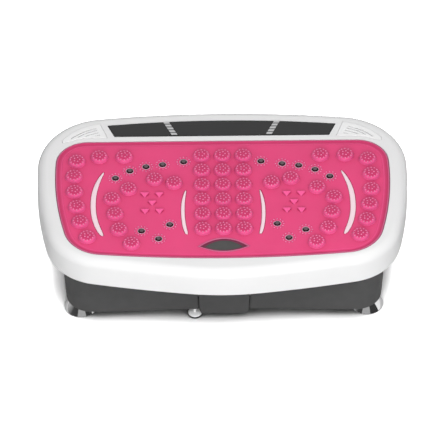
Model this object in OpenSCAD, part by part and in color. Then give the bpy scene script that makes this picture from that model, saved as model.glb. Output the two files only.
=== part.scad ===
// Slim oscillating vibration plate: a white deck with a pink massage mat rocks on a dark base.
// X runs to the right of a person facing the front, Y to the back, Z up from the floor.

/* [Deck] */
// Half of the deck's width at its widest
deck_half_w = 267.7; // [266:0.1:270]
// Distance from the middle to the front edge and to the back edge
deck_half_d = 168.2; // [167:0.2:170]
// Radius of the long back edge
deck_back_r = 1670; // [1600:10:1800]
// Radius of the back corners
deck_back_corner = 99; // [96:1:102]
// Radius of each side edge
deck_side_r = 560; // [540:5:580]
// How far behind the middle the deck is widest
deck_side_y = 40; // [36:1:44]
// Radius of the front corners
deck_front_corner = 84; // [82:1:86]
// Radius of each nearly straight half of the front edge
deck_flank_r = 2000; // [1800:50:2400]
// Radius of the blunt bend in the middle of the front edge
deck_front_r = 410; // [380:5:440]
// Half of the angle that this bend turns through
deck_front_turn = 7; // [6.5:0.1:7.5]
// Height of the deck's rim above the floor
rim_z = 130; // [129:0.5:132]
// Height of the skirt's lower edge
skirt_z = 84; // [80:1:88]
// Rounding of the deck's upper edge
edge_r = 14; // [12:0.5:14.5]
// Wall thickness of the deck casing
casing_wall = 3; // [2.5:0.1:3]

/* [Mat] */
// Half of the mat's width
mat_half_w = 242; // [240:0.5:243]
// Radius of the mat's nearly straight back edge
mat_back_r = 60000; // [30000:1000:90000]
// Radius of the mat's back corners
mat_back_corner = 45.7; // [44:0.1:48]
// Radius of the mat's side edges
mat_side_r = 490; // [475:5:505]
// How far behind the middle the mat is widest
mat_side_y = 25.3; // [23:0.1:28]
// Radius of the mat's front corners
mat_front_corner = 57; // [56:1:60]
// Radius of the mat's front edge
mat_front_r = 1730; // [1600:10:1900]
// Distance from the middle to the mat's back edge
mat_back = 104.3; // [103:0.1:105]
// Distance from the middle to the mat's front edge
mat_front = 137.6; // [136:0.2:139]
// Thickness of the mat
mat_t = 4; // [3.5:0.5:4.5]
// Radius of a massage nub at its foot
nub_r = 11.8; // [10:0.2:12]
// Height of a massage nub
nub_h = 5; // [4:0.5:6]
// Pitch of the nub grid in the middle of the mat
nub_pitch = 30; // [28:0.5:31]
// Radius of a magnet stud
magnet_r = 3.6; // [3:0.1:3.8]

/* [Base] */
// Half of the base's width at the top
base_half_w = 233; // [230:1:235]
// How far each side wall leans in towards the bottom
base_lean = 5.3; // [3:0.1:6]
// Half of the base's depth
base_half_d = 130; // [128:1:132]
// Corner radius of the base
base_corner = 36; // [32:1:40]
// Height of the base's underside
base_z = 18; // [17:0.5:19]
// Height of the base's upper edge
base_top = 90; // [86:1:92]
// Wall thickness of the base
base_wall = 3; // [2.5:0.5:3]
// Half of the front cover's width at its lower end
cover_half_w = 35.6; // [34:0.2:36]
// How much wider the front cover is at its top, on each side
cover_flare = 3; // [0:0.5:4]
// Height of the front cover's underside
cover_z = 10.4; // [10:0.1:12]

/* [Feet] */
// Distance of the suction feet from the middle, left and right
foot_x = 207; // [204:1:209]
// Distance of the suction feet from the middle, front and back
foot_y = 102; // [98:1:104]
// Radius of a suction cup's lip
foot_r = 23.8; // [22:0.2:25]
// Place of the small front foot, left of the front cover
front_foot_x = -42; // [-48:1:-42]

/* [Drive] */
// Height of the rocking axis
pivot_z = 70; // [68:1:72]
// Radius of the pivot shaft
pivot_r = 7; // [6:0.5:8]
// Distance of the crankshaft from the rocking axis
crank_x = 150; // [146:1:152]
// Height of the crankshaft
crank_z = 58; // [57:0.5:59]
// Radius of the crankshaft
crank_r = 6; // [5:0.5:6]
// Throw of the eccentric
crank_throw = 3; // [2:0.5:3]
// Height of the wrist pin
wrist_z = 96; // [95:0.5:97]
// Radius of the crankshaft's pulley
crank_pulley_r = 30; // [28:1:30]
// Radius of the motor's pulley
motor_pulley_r = 10; // [9:0.5:10]
// Distance of the motor from the rocking axis
motor_x = 66; // [60:1:68]
// Height of the motor
motor_z = 56; // [55:0.5:58]
// Radius of the motor
motor_r = 29; // [26:1:30]
// Radial clearance of a running fit
run_gap = 0.05; // [0.02:0.01:0.1]

/* [Rear sockets] */
// Place of the power inlet along the rear wall
inlet_x = -120; // [-126:1:-116]
// Place of the power switch along the rear wall
switch_x = -70; // [-74:1:-66]
// Height of the inlet and the switch
socket_z = 52; // [50:1:56]
// Tilt of the rocker on either side of its middle
rocker_tilt = 8; // [6:0.5:9]

/* [Hidden] */
$fn = 48;
eps = 0.5;
fit_gap = 0.3;

// Steps in the arcs of a deck or mat outline, from the middle of the back to the middle of the front
ARC_STEPS = [6, 10, 12, 10, 4, 4];
// Steps in a long bow, in a grille's curved edge, in a corner of the base and in the deck's upper edge
long_steps = 12;
corner_steps = 10;
base_steps = 8;
edge_steps = 6;
// The mat's front edge is a single arc, cut at this angle so that its points pair with the deck's
mat_front_turn = 2;

// Rounding inside the deck's upper edge
inner_edge_r = 8;

recess_z = rim_z - 1 - mat_t;
mat_top = recess_z + mat_t;
tub_z = recess_z - casing_wall;
base_floor = base_z + base_wall;
chassis_t = 3;
chassis_top = base_floor + chassis_t;
frame_z = tub_z - 3;
rib_z = frame_z - 15;
rib_y = 75;
rib_w = 10;

// Massage nubs on the right half, outside the middle grid
NUBS = [
    [210.5, 64], [215, 33], [214.5, 1.5], [211.5, -29.5], [207, -60.5], [197, -92],
    [178, 72.5], [142, 72.5], [98.5, 25.5], [70.5, 17.5], [136.5, 6],
    [160.5, -14], [156.5, -45], [151, -77], [133.5, -106]
];
GRID_BACK_Y = 73;
GRID_ROWS = 6;
// Half profile of a nub from its foot to its middle, in shares of its radius and height
NUB_PROFILE = [[1, 0], [0.9, 0.56], [0.76, 0.8], [0.5, 0.95], [0, 1]];

// Magnet studs on the right half
MAGNETS = [
    [56, 61.5], [86.5, 56], [110.5, 52], [134, 43.5], [155, 29],
    [118.5, -80], [77.5, -67.5], [94, -96.5]
];

// Middle of the cluster of small triangles on the right half, and its half pitches
TRIANGLE_AT = [102.5, -24.5];
TRIANGLE_STEP = [10.5, 17];
TRIANGLE_W = 12.6;
TRIANGLE_L = 8.8;
TRIANGLE_H = 3;

// Crescents: back tip and front end of the middle line, its swell, and half the raised land's width
OUTER_CRESCENT = [[172, 41], [174.8, -88.5], 14.2, 3.6];
INNER_CRESCENT = [[53.6, 2.5], [53, -87], 5, 2.45];
// Half the width of a land's blunted tips, and the gap round the land
land_tip = 0.06;
land_gap = 0.9;
magnet_h = 1.5;
magnet_hole_r = 5.3;

// Sensor window: half width, Y of the tips, Y of the back and front bows, and its depth in the mat
WINDOW = [34, -113, -98, -122];
window_drop = 0.8;

// Control panel: half widths and Y at the back and front corners, and the back edge's bow
PANEL_BACK = [165.5, 137];
PANEL_FRONT = [155.2, 113.9];
PANEL_BACK_BOW = 8.7;
panel_t = 1.4;
panel_z = rim_z - 1;
DIVIDER_BACK = [80.4, 142.8];
DIVIDER_FRONT = [68.5, 116.2];
divider_w = 8.4;
divider_t = 0.8;

// Speaker grille: centre and radius of its curved edge, its straight corners, and its grooves
GRILLE_CENTRE = [163.6, 57.4];
grille_r = 83.5;
GRILLE_TIP = [230.4, 102.5];
GRILLE_IN_BACK = [176, 139.5];
GRILLE_IN_FRONT = [166.2, 111.8];
GRILLE_FRONT = [[220, 105.6], [209, 109.6], [200, 111.4]];
GROOVE_INSETS = [7.4, 11.4, 16.4, 21.7];
GROOVE_AREA = [[184, 140], [175.5, 116.5], [199, 114.8], [210, 112.7], [220, 108.2], [228, 140]];
groove_w = 1.7;
groove_depth = 1.6;
grille_z = rim_z - 2;
grille_t = 2.6;
SPEAKER = [196, 125];
speaker_r = 13;

// Deck screws and base screws
DECK_SCREWS = [[195, 55], [195, -60], [95, 88], [95, -95]];
BASE_SCREW = [150, 100];
COVER_SCREWS = [-112, -72];
screw_r = 2.5;
keel_back = -52;
COVER_TAPER = [2.6, 7.3];

// Lower edge of the base: its drop below the underside in the middle and at the corners, where it dips
// from one to the other on either side of the middle, and the width of the lip that it forms
LIP_DROP = [0.5, 4];
LIP_REACH = [55, 175];
lip_w = 4;
lip_steps = 4;
lip_side = [for (i = [0 : lip_steps]) LIP_REACH[0] + (LIP_REACH[1] - LIP_REACH[0]) * i / lip_steps];
LIP_STATIONS = concat([for (i = [lip_steps : -1 : 0]) -lip_side[i]], lip_side);

BUMP = [200, rib_y];
bump_r = 10;
bump_boss_r = 13;
bump_z = 70;
bump_top = 98;

// Places along Y of the drive's pieces
BLOCK_Y = [62, 78];
LUG_Y = [44, 56];
CRANK_BLOCK_Y = [23, 37];
PULLEY_Y = [60, 76];
BELT_Y = [62, 74];
rod_half_t = 6.5;
bearing_r = 11;
eccentric_r = crank_r + crank_throw + 0.5;
rod_bearing_r = eccentric_r + 4.5;
rod_eye_r = 11;
wrist_r = 4;
rod_x = crank_x + crank_throw;
belt_gap = 0.3;
belt_t = 2.5;
motor_shaft_r = 4;
MOTOR_Y = [-48, 40];

front_foot_y = -base_half_d + 9;
front_foot_r = 9.9;
front_foot_pin_r = 2.5;
front_sole_t = 3;
rocker_y = base_half_d - 2;
trunnion_r = 1.2;

// Spacers of the power board
board_z = chassis_top + 6;
BOARD_X = [-158, -92];
BOARD_Y = [-62, 22];

// Outlines: a chain of tangent arcs round the right half, from the middle of the back to the middle of
// the front; each arc is a centre, a radius, the angles where it starts and ends, and its steps

function heading(from, to) = atan2(to[1] - from[1], to[0] - from[0]);

// Where two circles meet; side picks the left (1) or right (-1) of the line between the centres
function meeting(c0, r0, c1, r1, side) =
    let (d = norm(c1 - c0), u = (c1 - c0) / d, a = (r0 * r0 - r1 * r1 + d * d) / (2 * d))
    c0 + u * a + side * sqrt(r0 * r0 - a * a) * [-u[1], u[0]];

function outline(
    back, back_r, back_corner, half_w, side_y, side_r, front_corner, flank_r, front, front_r, front_turn
) =
    let (
        b = [0, back - back_r],
        s = [half_w - side_r, side_y],
        f = [0, front_r - front],
        k = f + (flank_r - front_r) * [-sin(front_turn), cos(front_turn)],
        cb = meeting(b, back_r - back_corner, s, side_r - back_corner, -1),
        cf = meeting(k, flank_r - front_corner, s, side_r - front_corner, 1),
        centres = [b, cb, s, cf, k, f],
        radii = [back_r, back_corner, side_r, front_corner, flank_r, front_r],
        turns = [90, heading(b, cb), heading(s, cb), heading(s, cf), heading(k, cf), front_turn - 90, -90]
    )
    [for (i = [0 : len(radii) - 1]) [centres[i], radii[i], turns[i], turns[i + 1], ARC_STEPS[i]]];

function arc(c, r, a0, a1, steps) =
    [for (i = [0 : steps - 1]) let (a = a0 + (a1 - a0) * i / steps) c + r * [cos(a), sin(a)]];

function mirrored(c) = [-c[0], c[1]];

// Closed ring of an outline drawn in by inset, clockwise from the middle of its back
function ring(o, inset) = concat(
    [for (a = o) each arc(a[0], a[1] - inset, a[2], a[3], a[4])],
    [for (i = [len(o) - 1 : -1 : 0]) let (a = o[i])
        each arc(mirrored(a[0]), a[1] - inset, -180 - a[3], -180 - a[2], a[4])]
);

deck_outline = outline(
    deck_half_d, deck_back_r, deck_back_corner, deck_half_w, deck_side_y, deck_side_r,
    deck_front_corner, deck_flank_r, deck_half_d, deck_front_r, deck_front_turn
);
mat_outline = outline(
    mat_back, mat_back_r, mat_back_corner, mat_half_w, mat_side_y, mat_side_r,
    mat_front_corner, mat_front_r, mat_front, mat_front_r, mat_front_turn
);

// Rounded rectangle, clockwise from its back right, with extra points at given X on its long sides
function box_ring(half_w, half_d, r, stations = []) =
    let (
        x = half_w - r,
        y = half_d - r,
        corner = function (c, start) [for (i = [0 : base_steps])
            let (a = start - 90 * i / base_steps) c + r * [cos(a), sin(a)]]
    )
    concat(
        corner([x, y], 90),
        corner([x, -y], 0),
        [for (s = stations) [-s, -half_d]],
        corner([-x, -y], -90),
        corner([-x, y], 180),
        [for (s = stations) [s, half_d]]
    );

// Points of a bow from a towards b that swells by sag to the left of the way there
function bow(a, b, sag, steps) =
    let (m = (a + b) / 2, n = [a[1] - b[1], b[0] - a[0]] / norm(b - a))
    [for (i = [0 : steps - 1]) let (t = 2 * i / steps - 1) m + (b - a) * t / 2 + n * sag * (1 - t * t)];

function at_z(points, z) = [for (p = points) [p[0], p[1], z]];

// Closed solid through rings of equal point counts, from the cap that faces up to the one that faces down
module loft(rings) {
    n = len(rings[0]);
    m = len(rings);
    last = (m - 1) * n;
    walls = [for (k = [0 : m - 2]) for (i = [0 : n - 1]) let (j = (i + 1) % n)
        each [[k * n + j, k * n + i, (k + 1) * n + i], [k * n + j, (k + 1) * n + i, (k + 1) * n + j]]];
    caps = [for (i = [0 : n - 1]) let (j = (i + 1) % n)
        each [[m * n, i, j], [m * n + 1, last + j, last + i]]];
    middles = [for (r = [rings[0], rings[m - 1]]) [0, 0, r[0][2]]];
    polyhedron(points = concat([for (r = rings) each r], middles), faces = concat(walls, caps));
}

module plate(points, z0, z1) {
    translate([0, 0, z0]) linear_extrude(z1 - z0) polygon(points);
}

module block(lo, hi) {
    translate(lo) cube(hi - lo);
}

// Cylinder along Y between y0 and y1
module rod_y(x, z, r, y0, y1) {
    translate([x, y1, z]) rotate([90, 0, 0]) cylinder(r = r, h = y1 - y0);
}

module ring_y(x, z, r_in, r_out, y0, y1) {
    difference() {
        rod_y(x, z, r_out, y0, y1);
        rod_y(x, z, r_in, y0 - eps, y1 + eps);
    }
}

module post(x, y, r, z0, z1) {
    translate([x, y, z0]) cylinder(r = r, h = z1 - z0);
}

module both_sides() {
    children();
    mirror([1, 0, 0]) children();
}

module four_ways() {
    both_sides() {
        children();
        mirror([0, 1, 0]) children();
    }
}

// Base

// Window in the rear wall, given by half its width and height
module rear_window(x, half_w, half_h) {
    y = base_half_d;
    block([x - half_w, y - 5, socket_z - half_h], [x + half_w, y + 5, socket_z + half_h]);
}

// Shape seen from the front, X and Z, drawn out between y0 and y1
module upright(points, y0, y1) {
    translate([0, y1, 0]) rotate([90, 0, 0]) linear_extrude(y1 - y0) polygon(points);
}

function cover_w(z) = cover_half_w + cover_flare * (z - cover_z) / (base_top - cover_z);

// Ring of the base's wall, drawn in by inset, at the height where its half width is measured
function base_ring(z, inset) =
    let (half_w = base_half_w - base_lean * (base_top - z) / (base_top - base_z))
    box_ring(half_w - inset, base_half_d - inset, base_corner - inset, LIP_STATIONS);

// Height of the base's lower edge, which is arched up in the middle
function lip_z(x) =
    let (t = min(1, max(0, (abs(x) - LIP_REACH[0]) / (LIP_REACH[1] - LIP_REACH[0]))))
    base_z - LIP_DROP[0] - (LIP_DROP[1] - LIP_DROP[0]) * t * t * (3 - 2 * t);

module base_tray() {
    chamfer = 2;
    level = function (z, inset) at_z(base_ring(z, inset), z);
    lip = function (rise, inset) [for (p = base_ring(base_z, inset)) [p[0], p[1], lip_z(p[0]) + rise]];
    notch_z = [base_z - 6, base_top + 1];
    notch_w = [for (z = notch_z) cover_w(z) + fit_gap];
    color("dimgray") difference() {
        union() {
            loft([
                level(base_floor, base_wall),
                level(base_top, base_wall),
                level(base_top, 0),
                lip(chamfer, 0),
                lip(0, chamfer),
                lip(0, lip_w),
                level(base_z, lip_w)
            ]);
            four_ways() post(BUMP[0], BUMP[1], bump_boss_r, base_floor - eps, bump_z);
        }
        upright(
            [
                [-notch_w[0], notch_z[0]], [notch_w[0], notch_z[0]],
                [notch_w[1], notch_z[1]], [-notch_w[1], notch_z[1]]
            ],
            -base_half_d - 5, -base_half_d + 10
        );
        four_ways() post(foot_x, foot_y, 4.2, base_z - 1, base_floor + 1);
        four_ways() post(BASE_SCREW[0], BASE_SCREW[1], screw_r, base_z - 1, base_floor + 1);
        for (y = COVER_SCREWS) post(0, y, 2, base_z - 1, base_floor + 1);
        post(front_foot_x, front_foot_y, front_foot_pin_r, base_z - 1, base_floor + 1);
        rear_window(inlet_x, 13.5, 12);
        rear_window(switch_x, 10.5, 9);
    }
}

// Cover over the middle of the front wall, with a shallow keel under the base
module front_cover() {
    front = -base_half_d - 1;
    wall = 3;
    top_w = cover_w(base_top);
    taper_z = cover_z + COVER_TAPER[1];
    side_w = cover_w(taper_z);
    low_w = side_w - COVER_TAPER[0];
    color("dimgray") difference() {
        intersection() {
            union() {
                block([-top_w, front, cover_z], [top_w, front + 4, base_top]);
                block([-top_w, front, cover_z], [top_w, keel_back, base_z]);
            }
            upright(
                [
                    [-top_w, base_top], [-side_w, taper_z], [-low_w, cover_z],
                    [low_w, cover_z], [side_w, taper_z], [top_w, base_top]
                ],
                front - 1, keel_back + 1
            );
        }
        block([wall - low_w, front + 12, cover_z + wall], [low_w - wall, keel_back - wall, base_z + 1]);
        for (y = COVER_SCREWS) {
            post(0, y, 2.2, cover_z - 1, cover_z + wall + 1);
            post(0, y, 4, cover_z - 1, cover_z + 1.2);
        }
    }
}

module chassis_plate() {
    color("silver") difference() {
        union() {
            plate(box_ring(172, 110, 12), base_floor, chassis_top);
            for (x = BOARD_X, y = BOARD_Y) post(x, y, 3, chassis_top - eps, board_z);
        }
        four_ways() post(BASE_SCREW[0], BASE_SCREW[1], screw_r + fit_gap, base_floor - 1, chassis_top + 1);
    }
}

// Feet

module foot_bell(x, y) {
    top = base_z;
    color("lightsteelblue") translate([x, y, 0]) rotate_extrude() polygon([
        [4.2, top], [11, top], [12, top - 1.5], [16, top - 6], [20.5, top - 11], [foot_r - 0.8, 3],
        [foot_r - 0.8, 2], [foot_r - 2.3, 2], [20, 5.5], [14.5, 11.5], [10.5, top - 2.5], [4.2, top - 2.5]
    ]);
}

module suction_cup(x, y) {
    color("black") translate([x, y, 0]) difference() {
        rotate_extrude() polygon([
            [0, 1.2], [15, 1.2], [17, 0], [foot_r, 0], [foot_r, 1.4], [21, 1.8],
            [19.4, 5.3], [14, 11.2], [10, base_z - 2.5], [0, base_z - 2.5]
        ]);
        post(0, 0, 4, 9, base_z);
    }
}

// Studs of the suction feet, each with its nut inside the base
module foot_bolts() {
    color("silver") four_ways() translate([foot_x, foot_y, 0]) {
        post(0, 0, 4, 9, base_floor + 10);
        translate([0, 0, base_floor]) cylinder(r = 7.2, h = 6, $fn = 6);
    }
}

module front_foot() {
    color("gainsboro") {
        post(front_foot_x, front_foot_y, front_foot_r, front_sole_t, front_sole_t + 3.5);
        post(front_foot_x, front_foot_y, front_foot_pin_r, front_sole_t + 3, base_floor);
    }
}

module front_foot_sole() {
    color("black") post(front_foot_x, front_foot_y, front_foot_r, 0, front_sole_t);
}

// Pivot

module pivot_block(side) {
    y0 = side > 0 ? BLOCK_Y[0] : -BLOCK_Y[1];
    y1 = side > 0 ? BLOCK_Y[1] : -BLOCK_Y[0];
    color("slategray") difference() {
        union() {
            block([-34, y0, chassis_top], [34, y1, chassis_top + 7]);
            block([-17, y0, chassis_top], [17, y1, pivot_z]);
            rod_y(0, pivot_z, 17, y0, y1);
        }
        rod_y(0, pivot_z, pivot_r, y0 - 1, y1 + 1);
    }
}

module pivot_shaft() {
    end = BLOCK_Y[1] + 6;
    color("silver") difference() {
        rod_y(0, pivot_z, pivot_r, -end, end);
        for (y = [3 - end, end - 3]) ring_y(0, pivot_z, pivot_r - 0.7, pivot_r + 1, y - 0.6, y + 0.6);
    }
}

// Motor

module motor_can() {
    color("darkslategray") difference() {
        rod_y(motor_x, motor_z, motor_r, MOTOR_Y[0], MOTOR_Y[1]);
        rod_y(motor_x, motor_z, motor_r - 3, MOTOR_Y[0] + 4, MOTOR_Y[1] + 1);
        rod_y(motor_x, motor_z, motor_shaft_r + run_gap, MOTOR_Y[0] - 1, MOTOR_Y[0] + 5);
    }
}

module motor_end_bell() {
    color("silver") difference() {
        union() {
            rod_y(motor_x, motor_z, motor_r, MOTOR_Y[1], MOTOR_Y[1] + 6);
            rod_y(motor_x, motor_z, 12, MOTOR_Y[1] + 5, MOTOR_Y[1] + 12);
        }
        rod_y(motor_x, motor_z, motor_shaft_r + run_gap, MOTOR_Y[1] - 1, MOTOR_Y[1] + 13);
    }
}

// Saddle under the motor, with a strap over it
module motor_bracket() {
    color("slategray") difference() {
        union() {
            block([motor_x - 32, -30, chassis_top], [motor_x + 32, 20, motor_z - 14]);
            rod_y(motor_x, motor_z, motor_r + 2, -14, 4);
        }
        rod_y(motor_x, motor_z, motor_r, -31, 21);
    }
}

module motor_shaft() {
    color("gainsboro") {
        rod_y(motor_x, motor_z, motor_shaft_r, MOTOR_Y[0] - 3, PULLEY_Y[1] + 2);
        rod_y(motor_x, motor_z, motor_r - 8, MOTOR_Y[0] + 12, MOTOR_Y[1] - 10);
    }
}

module motor_pulley() {
    flange = 1.5;
    color("gray") difference() {
        union() {
            rod_y(motor_x, motor_z, motor_pulley_r, PULLEY_Y[0], PULLEY_Y[1]);
            rod_y(motor_x, motor_z, motor_pulley_r + 3, PULLEY_Y[0], PULLEY_Y[0] + flange);
            rod_y(motor_x, motor_z, motor_pulley_r + 3, PULLEY_Y[1] - flange, PULLEY_Y[1]);
        }
        rod_y(motor_x, motor_z, motor_shaft_r, PULLEY_Y[0] - 1, PULLEY_Y[1] + 1);
    }
}

// Flat shape inside a belt that runs round both pulleys at a given distance from their rims
module belt_shape(out) {
    span = [crank_x - motor_x, crank_z - motor_z];
    r0 = motor_pulley_r + out;
    r1 = crank_pulley_r + out;
    along = atan2(span[1], span[0]);
    open = acos((r0 - r1) / norm(span));
    c0 = [motor_x, motor_z];
    c1 = [crank_x, crank_z];
    at = function (c, r, a) c + r * [cos(a), sin(a)];
    union() {
        translate(c0) circle(r = r0);
        translate(c1) circle(r = r1);
        polygon([
            at(c0, r0, along + open), at(c1, r1, along + open),
            at(c1, r1, along - open), at(c0, r0, along - open)
        ]);
    }
}

module belt_solid(out, y0, y1) {
    translate([0, y1, 0]) rotate([90, 0, 0]) linear_extrude(y1 - y0) belt_shape(out);
}

module drive_belt() {
    color("black") difference() {
        belt_solid(belt_gap + belt_t, BELT_Y[0], BELT_Y[1]);
        belt_solid(belt_gap, BELT_Y[0] - 1, BELT_Y[1] + 1);
    }
}

// Crank drive

module crank_block(side) {
    y0 = side > 0 ? CRANK_BLOCK_Y[0] : -CRANK_BLOCK_Y[1];
    y1 = side > 0 ? CRANK_BLOCK_Y[1] : -CRANK_BLOCK_Y[0];
    color("slategray") difference() {
        union() {
            block([crank_x - 21, y0, chassis_top], [crank_x + 21, y1, chassis_top + 7]);
            block([crank_x - 16, y0, chassis_top], [crank_x + 16, y1, crank_z]);
            rod_y(crank_x, crank_z, 16, y0, y1);
        }
        rod_y(crank_x, crank_z, bearing_r, y0 - 1, y1 + 1);
    }
}

module crank_bearing(side) {
    inset = 1;
    y0 = side > 0 ? CRANK_BLOCK_Y[0] : -CRANK_BLOCK_Y[1];
    y1 = side > 0 ? CRANK_BLOCK_Y[1] : -CRANK_BLOCK_Y[0];
    color("gainsboro") ring_y(crank_x, crank_z, crank_r + run_gap, bearing_r, y0 + inset, y1 - inset);
}

module crankshaft() {
    color("silver") {
        rod_y(crank_x, crank_z, crank_r, -CRANK_BLOCK_Y[1] - 4, PULLEY_Y[1] + 4);
        rod_y(rod_x, crank_z, eccentric_r, -rod_half_t - 1.5, rod_half_t + 1.5);
    }
}

module crank_pulley() {
    web = 4;
    mid = (PULLEY_Y[0] + PULLEY_Y[1]) / 2;
    color("gray") difference() {
        union() {
            ring_y(crank_x, crank_z, crank_pulley_r - 5, crank_pulley_r, PULLEY_Y[0], PULLEY_Y[1]);
            rod_y(crank_x, crank_z, crank_pulley_r - 4, mid - web / 2, mid + web / 2);
            rod_y(crank_x, crank_z, crank_r + 6, PULLEY_Y[0], PULLEY_Y[1]);
        }
        rod_y(crank_x, crank_z, crank_r, PULLEY_Y[0] - 1, PULLEY_Y[1] + 1);
    }
}

module rod_bearing() {
    color("gainsboro") ring_y(rod_x, crank_z, eccentric_r + run_gap, rod_bearing_r, -rod_half_t, rod_half_t);
}

// Rod from the eccentric to the deck; its upper eye stands for a soft bush around the wrist pin
module connecting_rod() {
    wall = 4;
    color("darkgray") difference() {
        union() {
            rod_y(rod_x, crank_z, rod_bearing_r + 5, -rod_half_t, rod_half_t);
            rod_y(rod_x, wrist_z, rod_eye_r + wall, -rod_half_t, rod_half_t);
            block([rod_x - 10, -rod_half_t, crank_z + 14], [rod_x + 10, rod_half_t, wrist_z - 11]);
        }
        rod_y(rod_x, crank_z, rod_bearing_r, -rod_half_t - 1, rod_half_t + 1);
        rod_y(rod_x, wrist_z, rod_eye_r, -rod_half_t - 1, rod_half_t + 1);
    }
}

// Electrics

module power_board() {
    board_t = 1.6;
    top = board_z + board_t;
    color("darkgreen") {
        block([-165, -70, board_z], [-85, 30, top]);
        block([-150, -50, top - eps], [-125, -20, top + 22]);
        block([-118, -40, top - eps], [-98, -25, top + 18]);
        for (y = [-8, 10]) post(-140, y, 6, top - eps, top + 24);
        block([-115, 5, top - eps], [-95, 15, top + 10]);
    }
}

module transformer() {
    color("goldenrod") {
        block([-160, 42, chassis_top], [-112, 88, chassis_top + 12]);
        block([-160, 42, chassis_top + 30], [-112, 88, chassis_top + 42]);
        block([-152, 48, chassis_top + 10], [-120, 82, chassis_top + 32]);
    }
}

// Power inlet: a block with a cavity that opens to the rear
module inlet_socket() {
    y = base_half_d;
    color("black") difference() {
        union() {
            block([inlet_x - 16, y, socket_z - 14.5], [inlet_x + 16, y + 2.5, socket_z + 14.5]);
            block([inlet_x - 13.3, y - 20, socket_z - 11.8], [inlet_x + 13.3, y + 1, socket_z + 11.8]);
        }
        block([inlet_x - 12, y - 15, socket_z - 8.2], [inlet_x + 12, y + 3, socket_z + 8.2]);
    }
}

module inlet_pins() {
    y = base_half_d - 15;
    color("goldenrod") for (p = [[-7, 1.5], [0, -2.5], [7, 1.5]])
        translate([inlet_x + p[0], 0, socket_z + p[1]]) block([-1, y, -2], [1, y + 12, 2]);
}

// Cylinder along X about the rocker's axis
module rocker_axle(r, half_l) {
    translate([switch_x - half_l, rocker_y, socket_z]) rotate([0, 90, 0]) cylinder(r = r, h = 2 * half_l);
}

module switch_bezel() {
    y = base_half_d;
    color("black") difference() {
        union() {
            block([switch_x - 13, y, socket_z - 11.5], [switch_x + 13, y + 2, socket_z + 11.5]);
            block([switch_x - 10.3, y - 16, socket_z - 8.8], [switch_x + 10.3, y + 1, socket_z + 8.8]);
        }
        block([switch_x - 7, y - 12, socket_z - 8.2], [switch_x + 7, y + 3, socket_z + 8.2]);
        rocker_axle(trunnion_r + run_gap, 9);
    }
}

// Rocker in its off position
module switch_rocker() {
    half_w = 6.5;
    color("firebrick") {
        translate([switch_x - half_w, rocker_y, socket_z])
            rotate([rocker_tilt, 0, 0]) rotate([90, 0, 90]) linear_extrude(2 * half_w)
                polygon([[-2, -6.6], [4.4, -6.9], [2.4, 0], [4.4, 6.9], [-2, 6.6]]);
        rocker_axle(trunnion_r, 8.4);
    }
}

module bump_stops() {
    color("black") four_ways() post(BUMP[0], BUMP[1], bump_r, bump_z, bump_top);
}

module screw_up(x, y, head_z, tip_z, r, head_r, head_h) {
    post(x, y, r, head_z, tip_z);
    post(x, y, head_r, head_z, head_z + head_h);
}

// Screws of the chassis plate and of the front cover
module base_screws() {
    color("silver") {
        four_ways() {
            post(BASE_SCREW[0], BASE_SCREW[1], screw_r, base_z + 0.5, chassis_top + 1);
            post(BASE_SCREW[0], BASE_SCREW[1], 5, chassis_top, chassis_top + 3);
        }
        for (y = COVER_SCREWS) screw_up(0, y, cover_z, base_floor, 2, 4, 1.2);
    }
}

// Deck

function casing_rings() =
    let (
        floor_ring = ring(mat_outline, -fit_gap),
        tub_ring = ring(mat_outline, -casing_wall),
        inner_z = rim_z - casing_wall - inner_edge_r
    )
    concat(
        [at_z(floor_ring, recess_z), at_z(floor_ring, rim_z)],
        [for (i = [0 : edge_steps]) let (a = 90 - 90 * i / edge_steps)
            at_z(ring(deck_outline, edge_r * (1 - cos(a))), rim_z - edge_r * (1 - sin(a)))],
        [at_z(ring(deck_outline, 0), skirt_z), at_z(ring(deck_outline, casing_wall), skirt_z)],
        [for (i = [0 : edge_steps])
            let (a = 90 * i / edge_steps, inset = casing_wall + inner_edge_r * (1 - cos(a)))
            at_z(ring(deck_outline, inset), inner_z + inner_edge_r * sin(a))],
        [at_z(tub_ring, rim_z - casing_wall), at_z(tub_ring, tub_z)]
    );

// Panel and grille outlines on the back rim
function panel_points() = concat(
    bow(mirrored(PANEL_BACK), PANEL_BACK, PANEL_BACK_BOW, long_steps),
    [PANEL_BACK, PANEL_FRONT, mirrored(PANEL_FRONT)]
);

function grille_points() =
    let (c = GRILLE_CENTRE)
    concat(
        arc(c, grille_r, heading(c, GRILLE_IN_BACK), heading(c, GRILLE_TIP), corner_steps),
        [GRILLE_TIP],
        GRILLE_FRONT,
        [GRILLE_IN_FRONT]
    );

// Places of the deck screws, mirrored left and right
module at_deck_screws() {
    both_sides() for (p = DECK_SCREWS) translate([p[0], p[1], 0]) children();
}

module top_casing() {
    color("white") difference() {
        union() {
            loft(casing_rings());
            both_sides() for (c = [OUTER_CRESCENT, INNER_CRESCENT])
                plate(crescent(c, land_tip), recess_z - eps, mat_top);
        }
        plate(panel_points(), panel_z, rim_z + 1);
        both_sides() plate(grille_points(), grille_z, rim_z + 1);
        both_sides() post(SPEAKER[0], SPEAKER[1], speaker_r - 2, rim_z - casing_wall - 1, rim_z);
        at_deck_screws() post(0, 0, 2, tub_z - 1, tub_z + 2.2);
    }
}

module deck_frame() {
    color("gray") difference() {
        union() {
            plate(box_ring(212, 100, 20), frame_z, tub_z);
            for (y = [-rib_y, rib_y])
                block([-210, y - rib_w / 2, rib_z], [210, y + rib_w / 2, frame_z + eps]);
        }
        at_deck_screws() post(0, 0, 2.2, frame_z - 1, tub_z + 1);
        for (x = [-150, -80, 80]) post(x, 0, 22, frame_z - 1, tub_z + 1);
    }
}

module deck_screws() {
    color("silver") at_deck_screws() screw_up(0, 0, frame_z - 2.5, tub_z + 2, 2, 4, 2.5);
}

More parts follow.
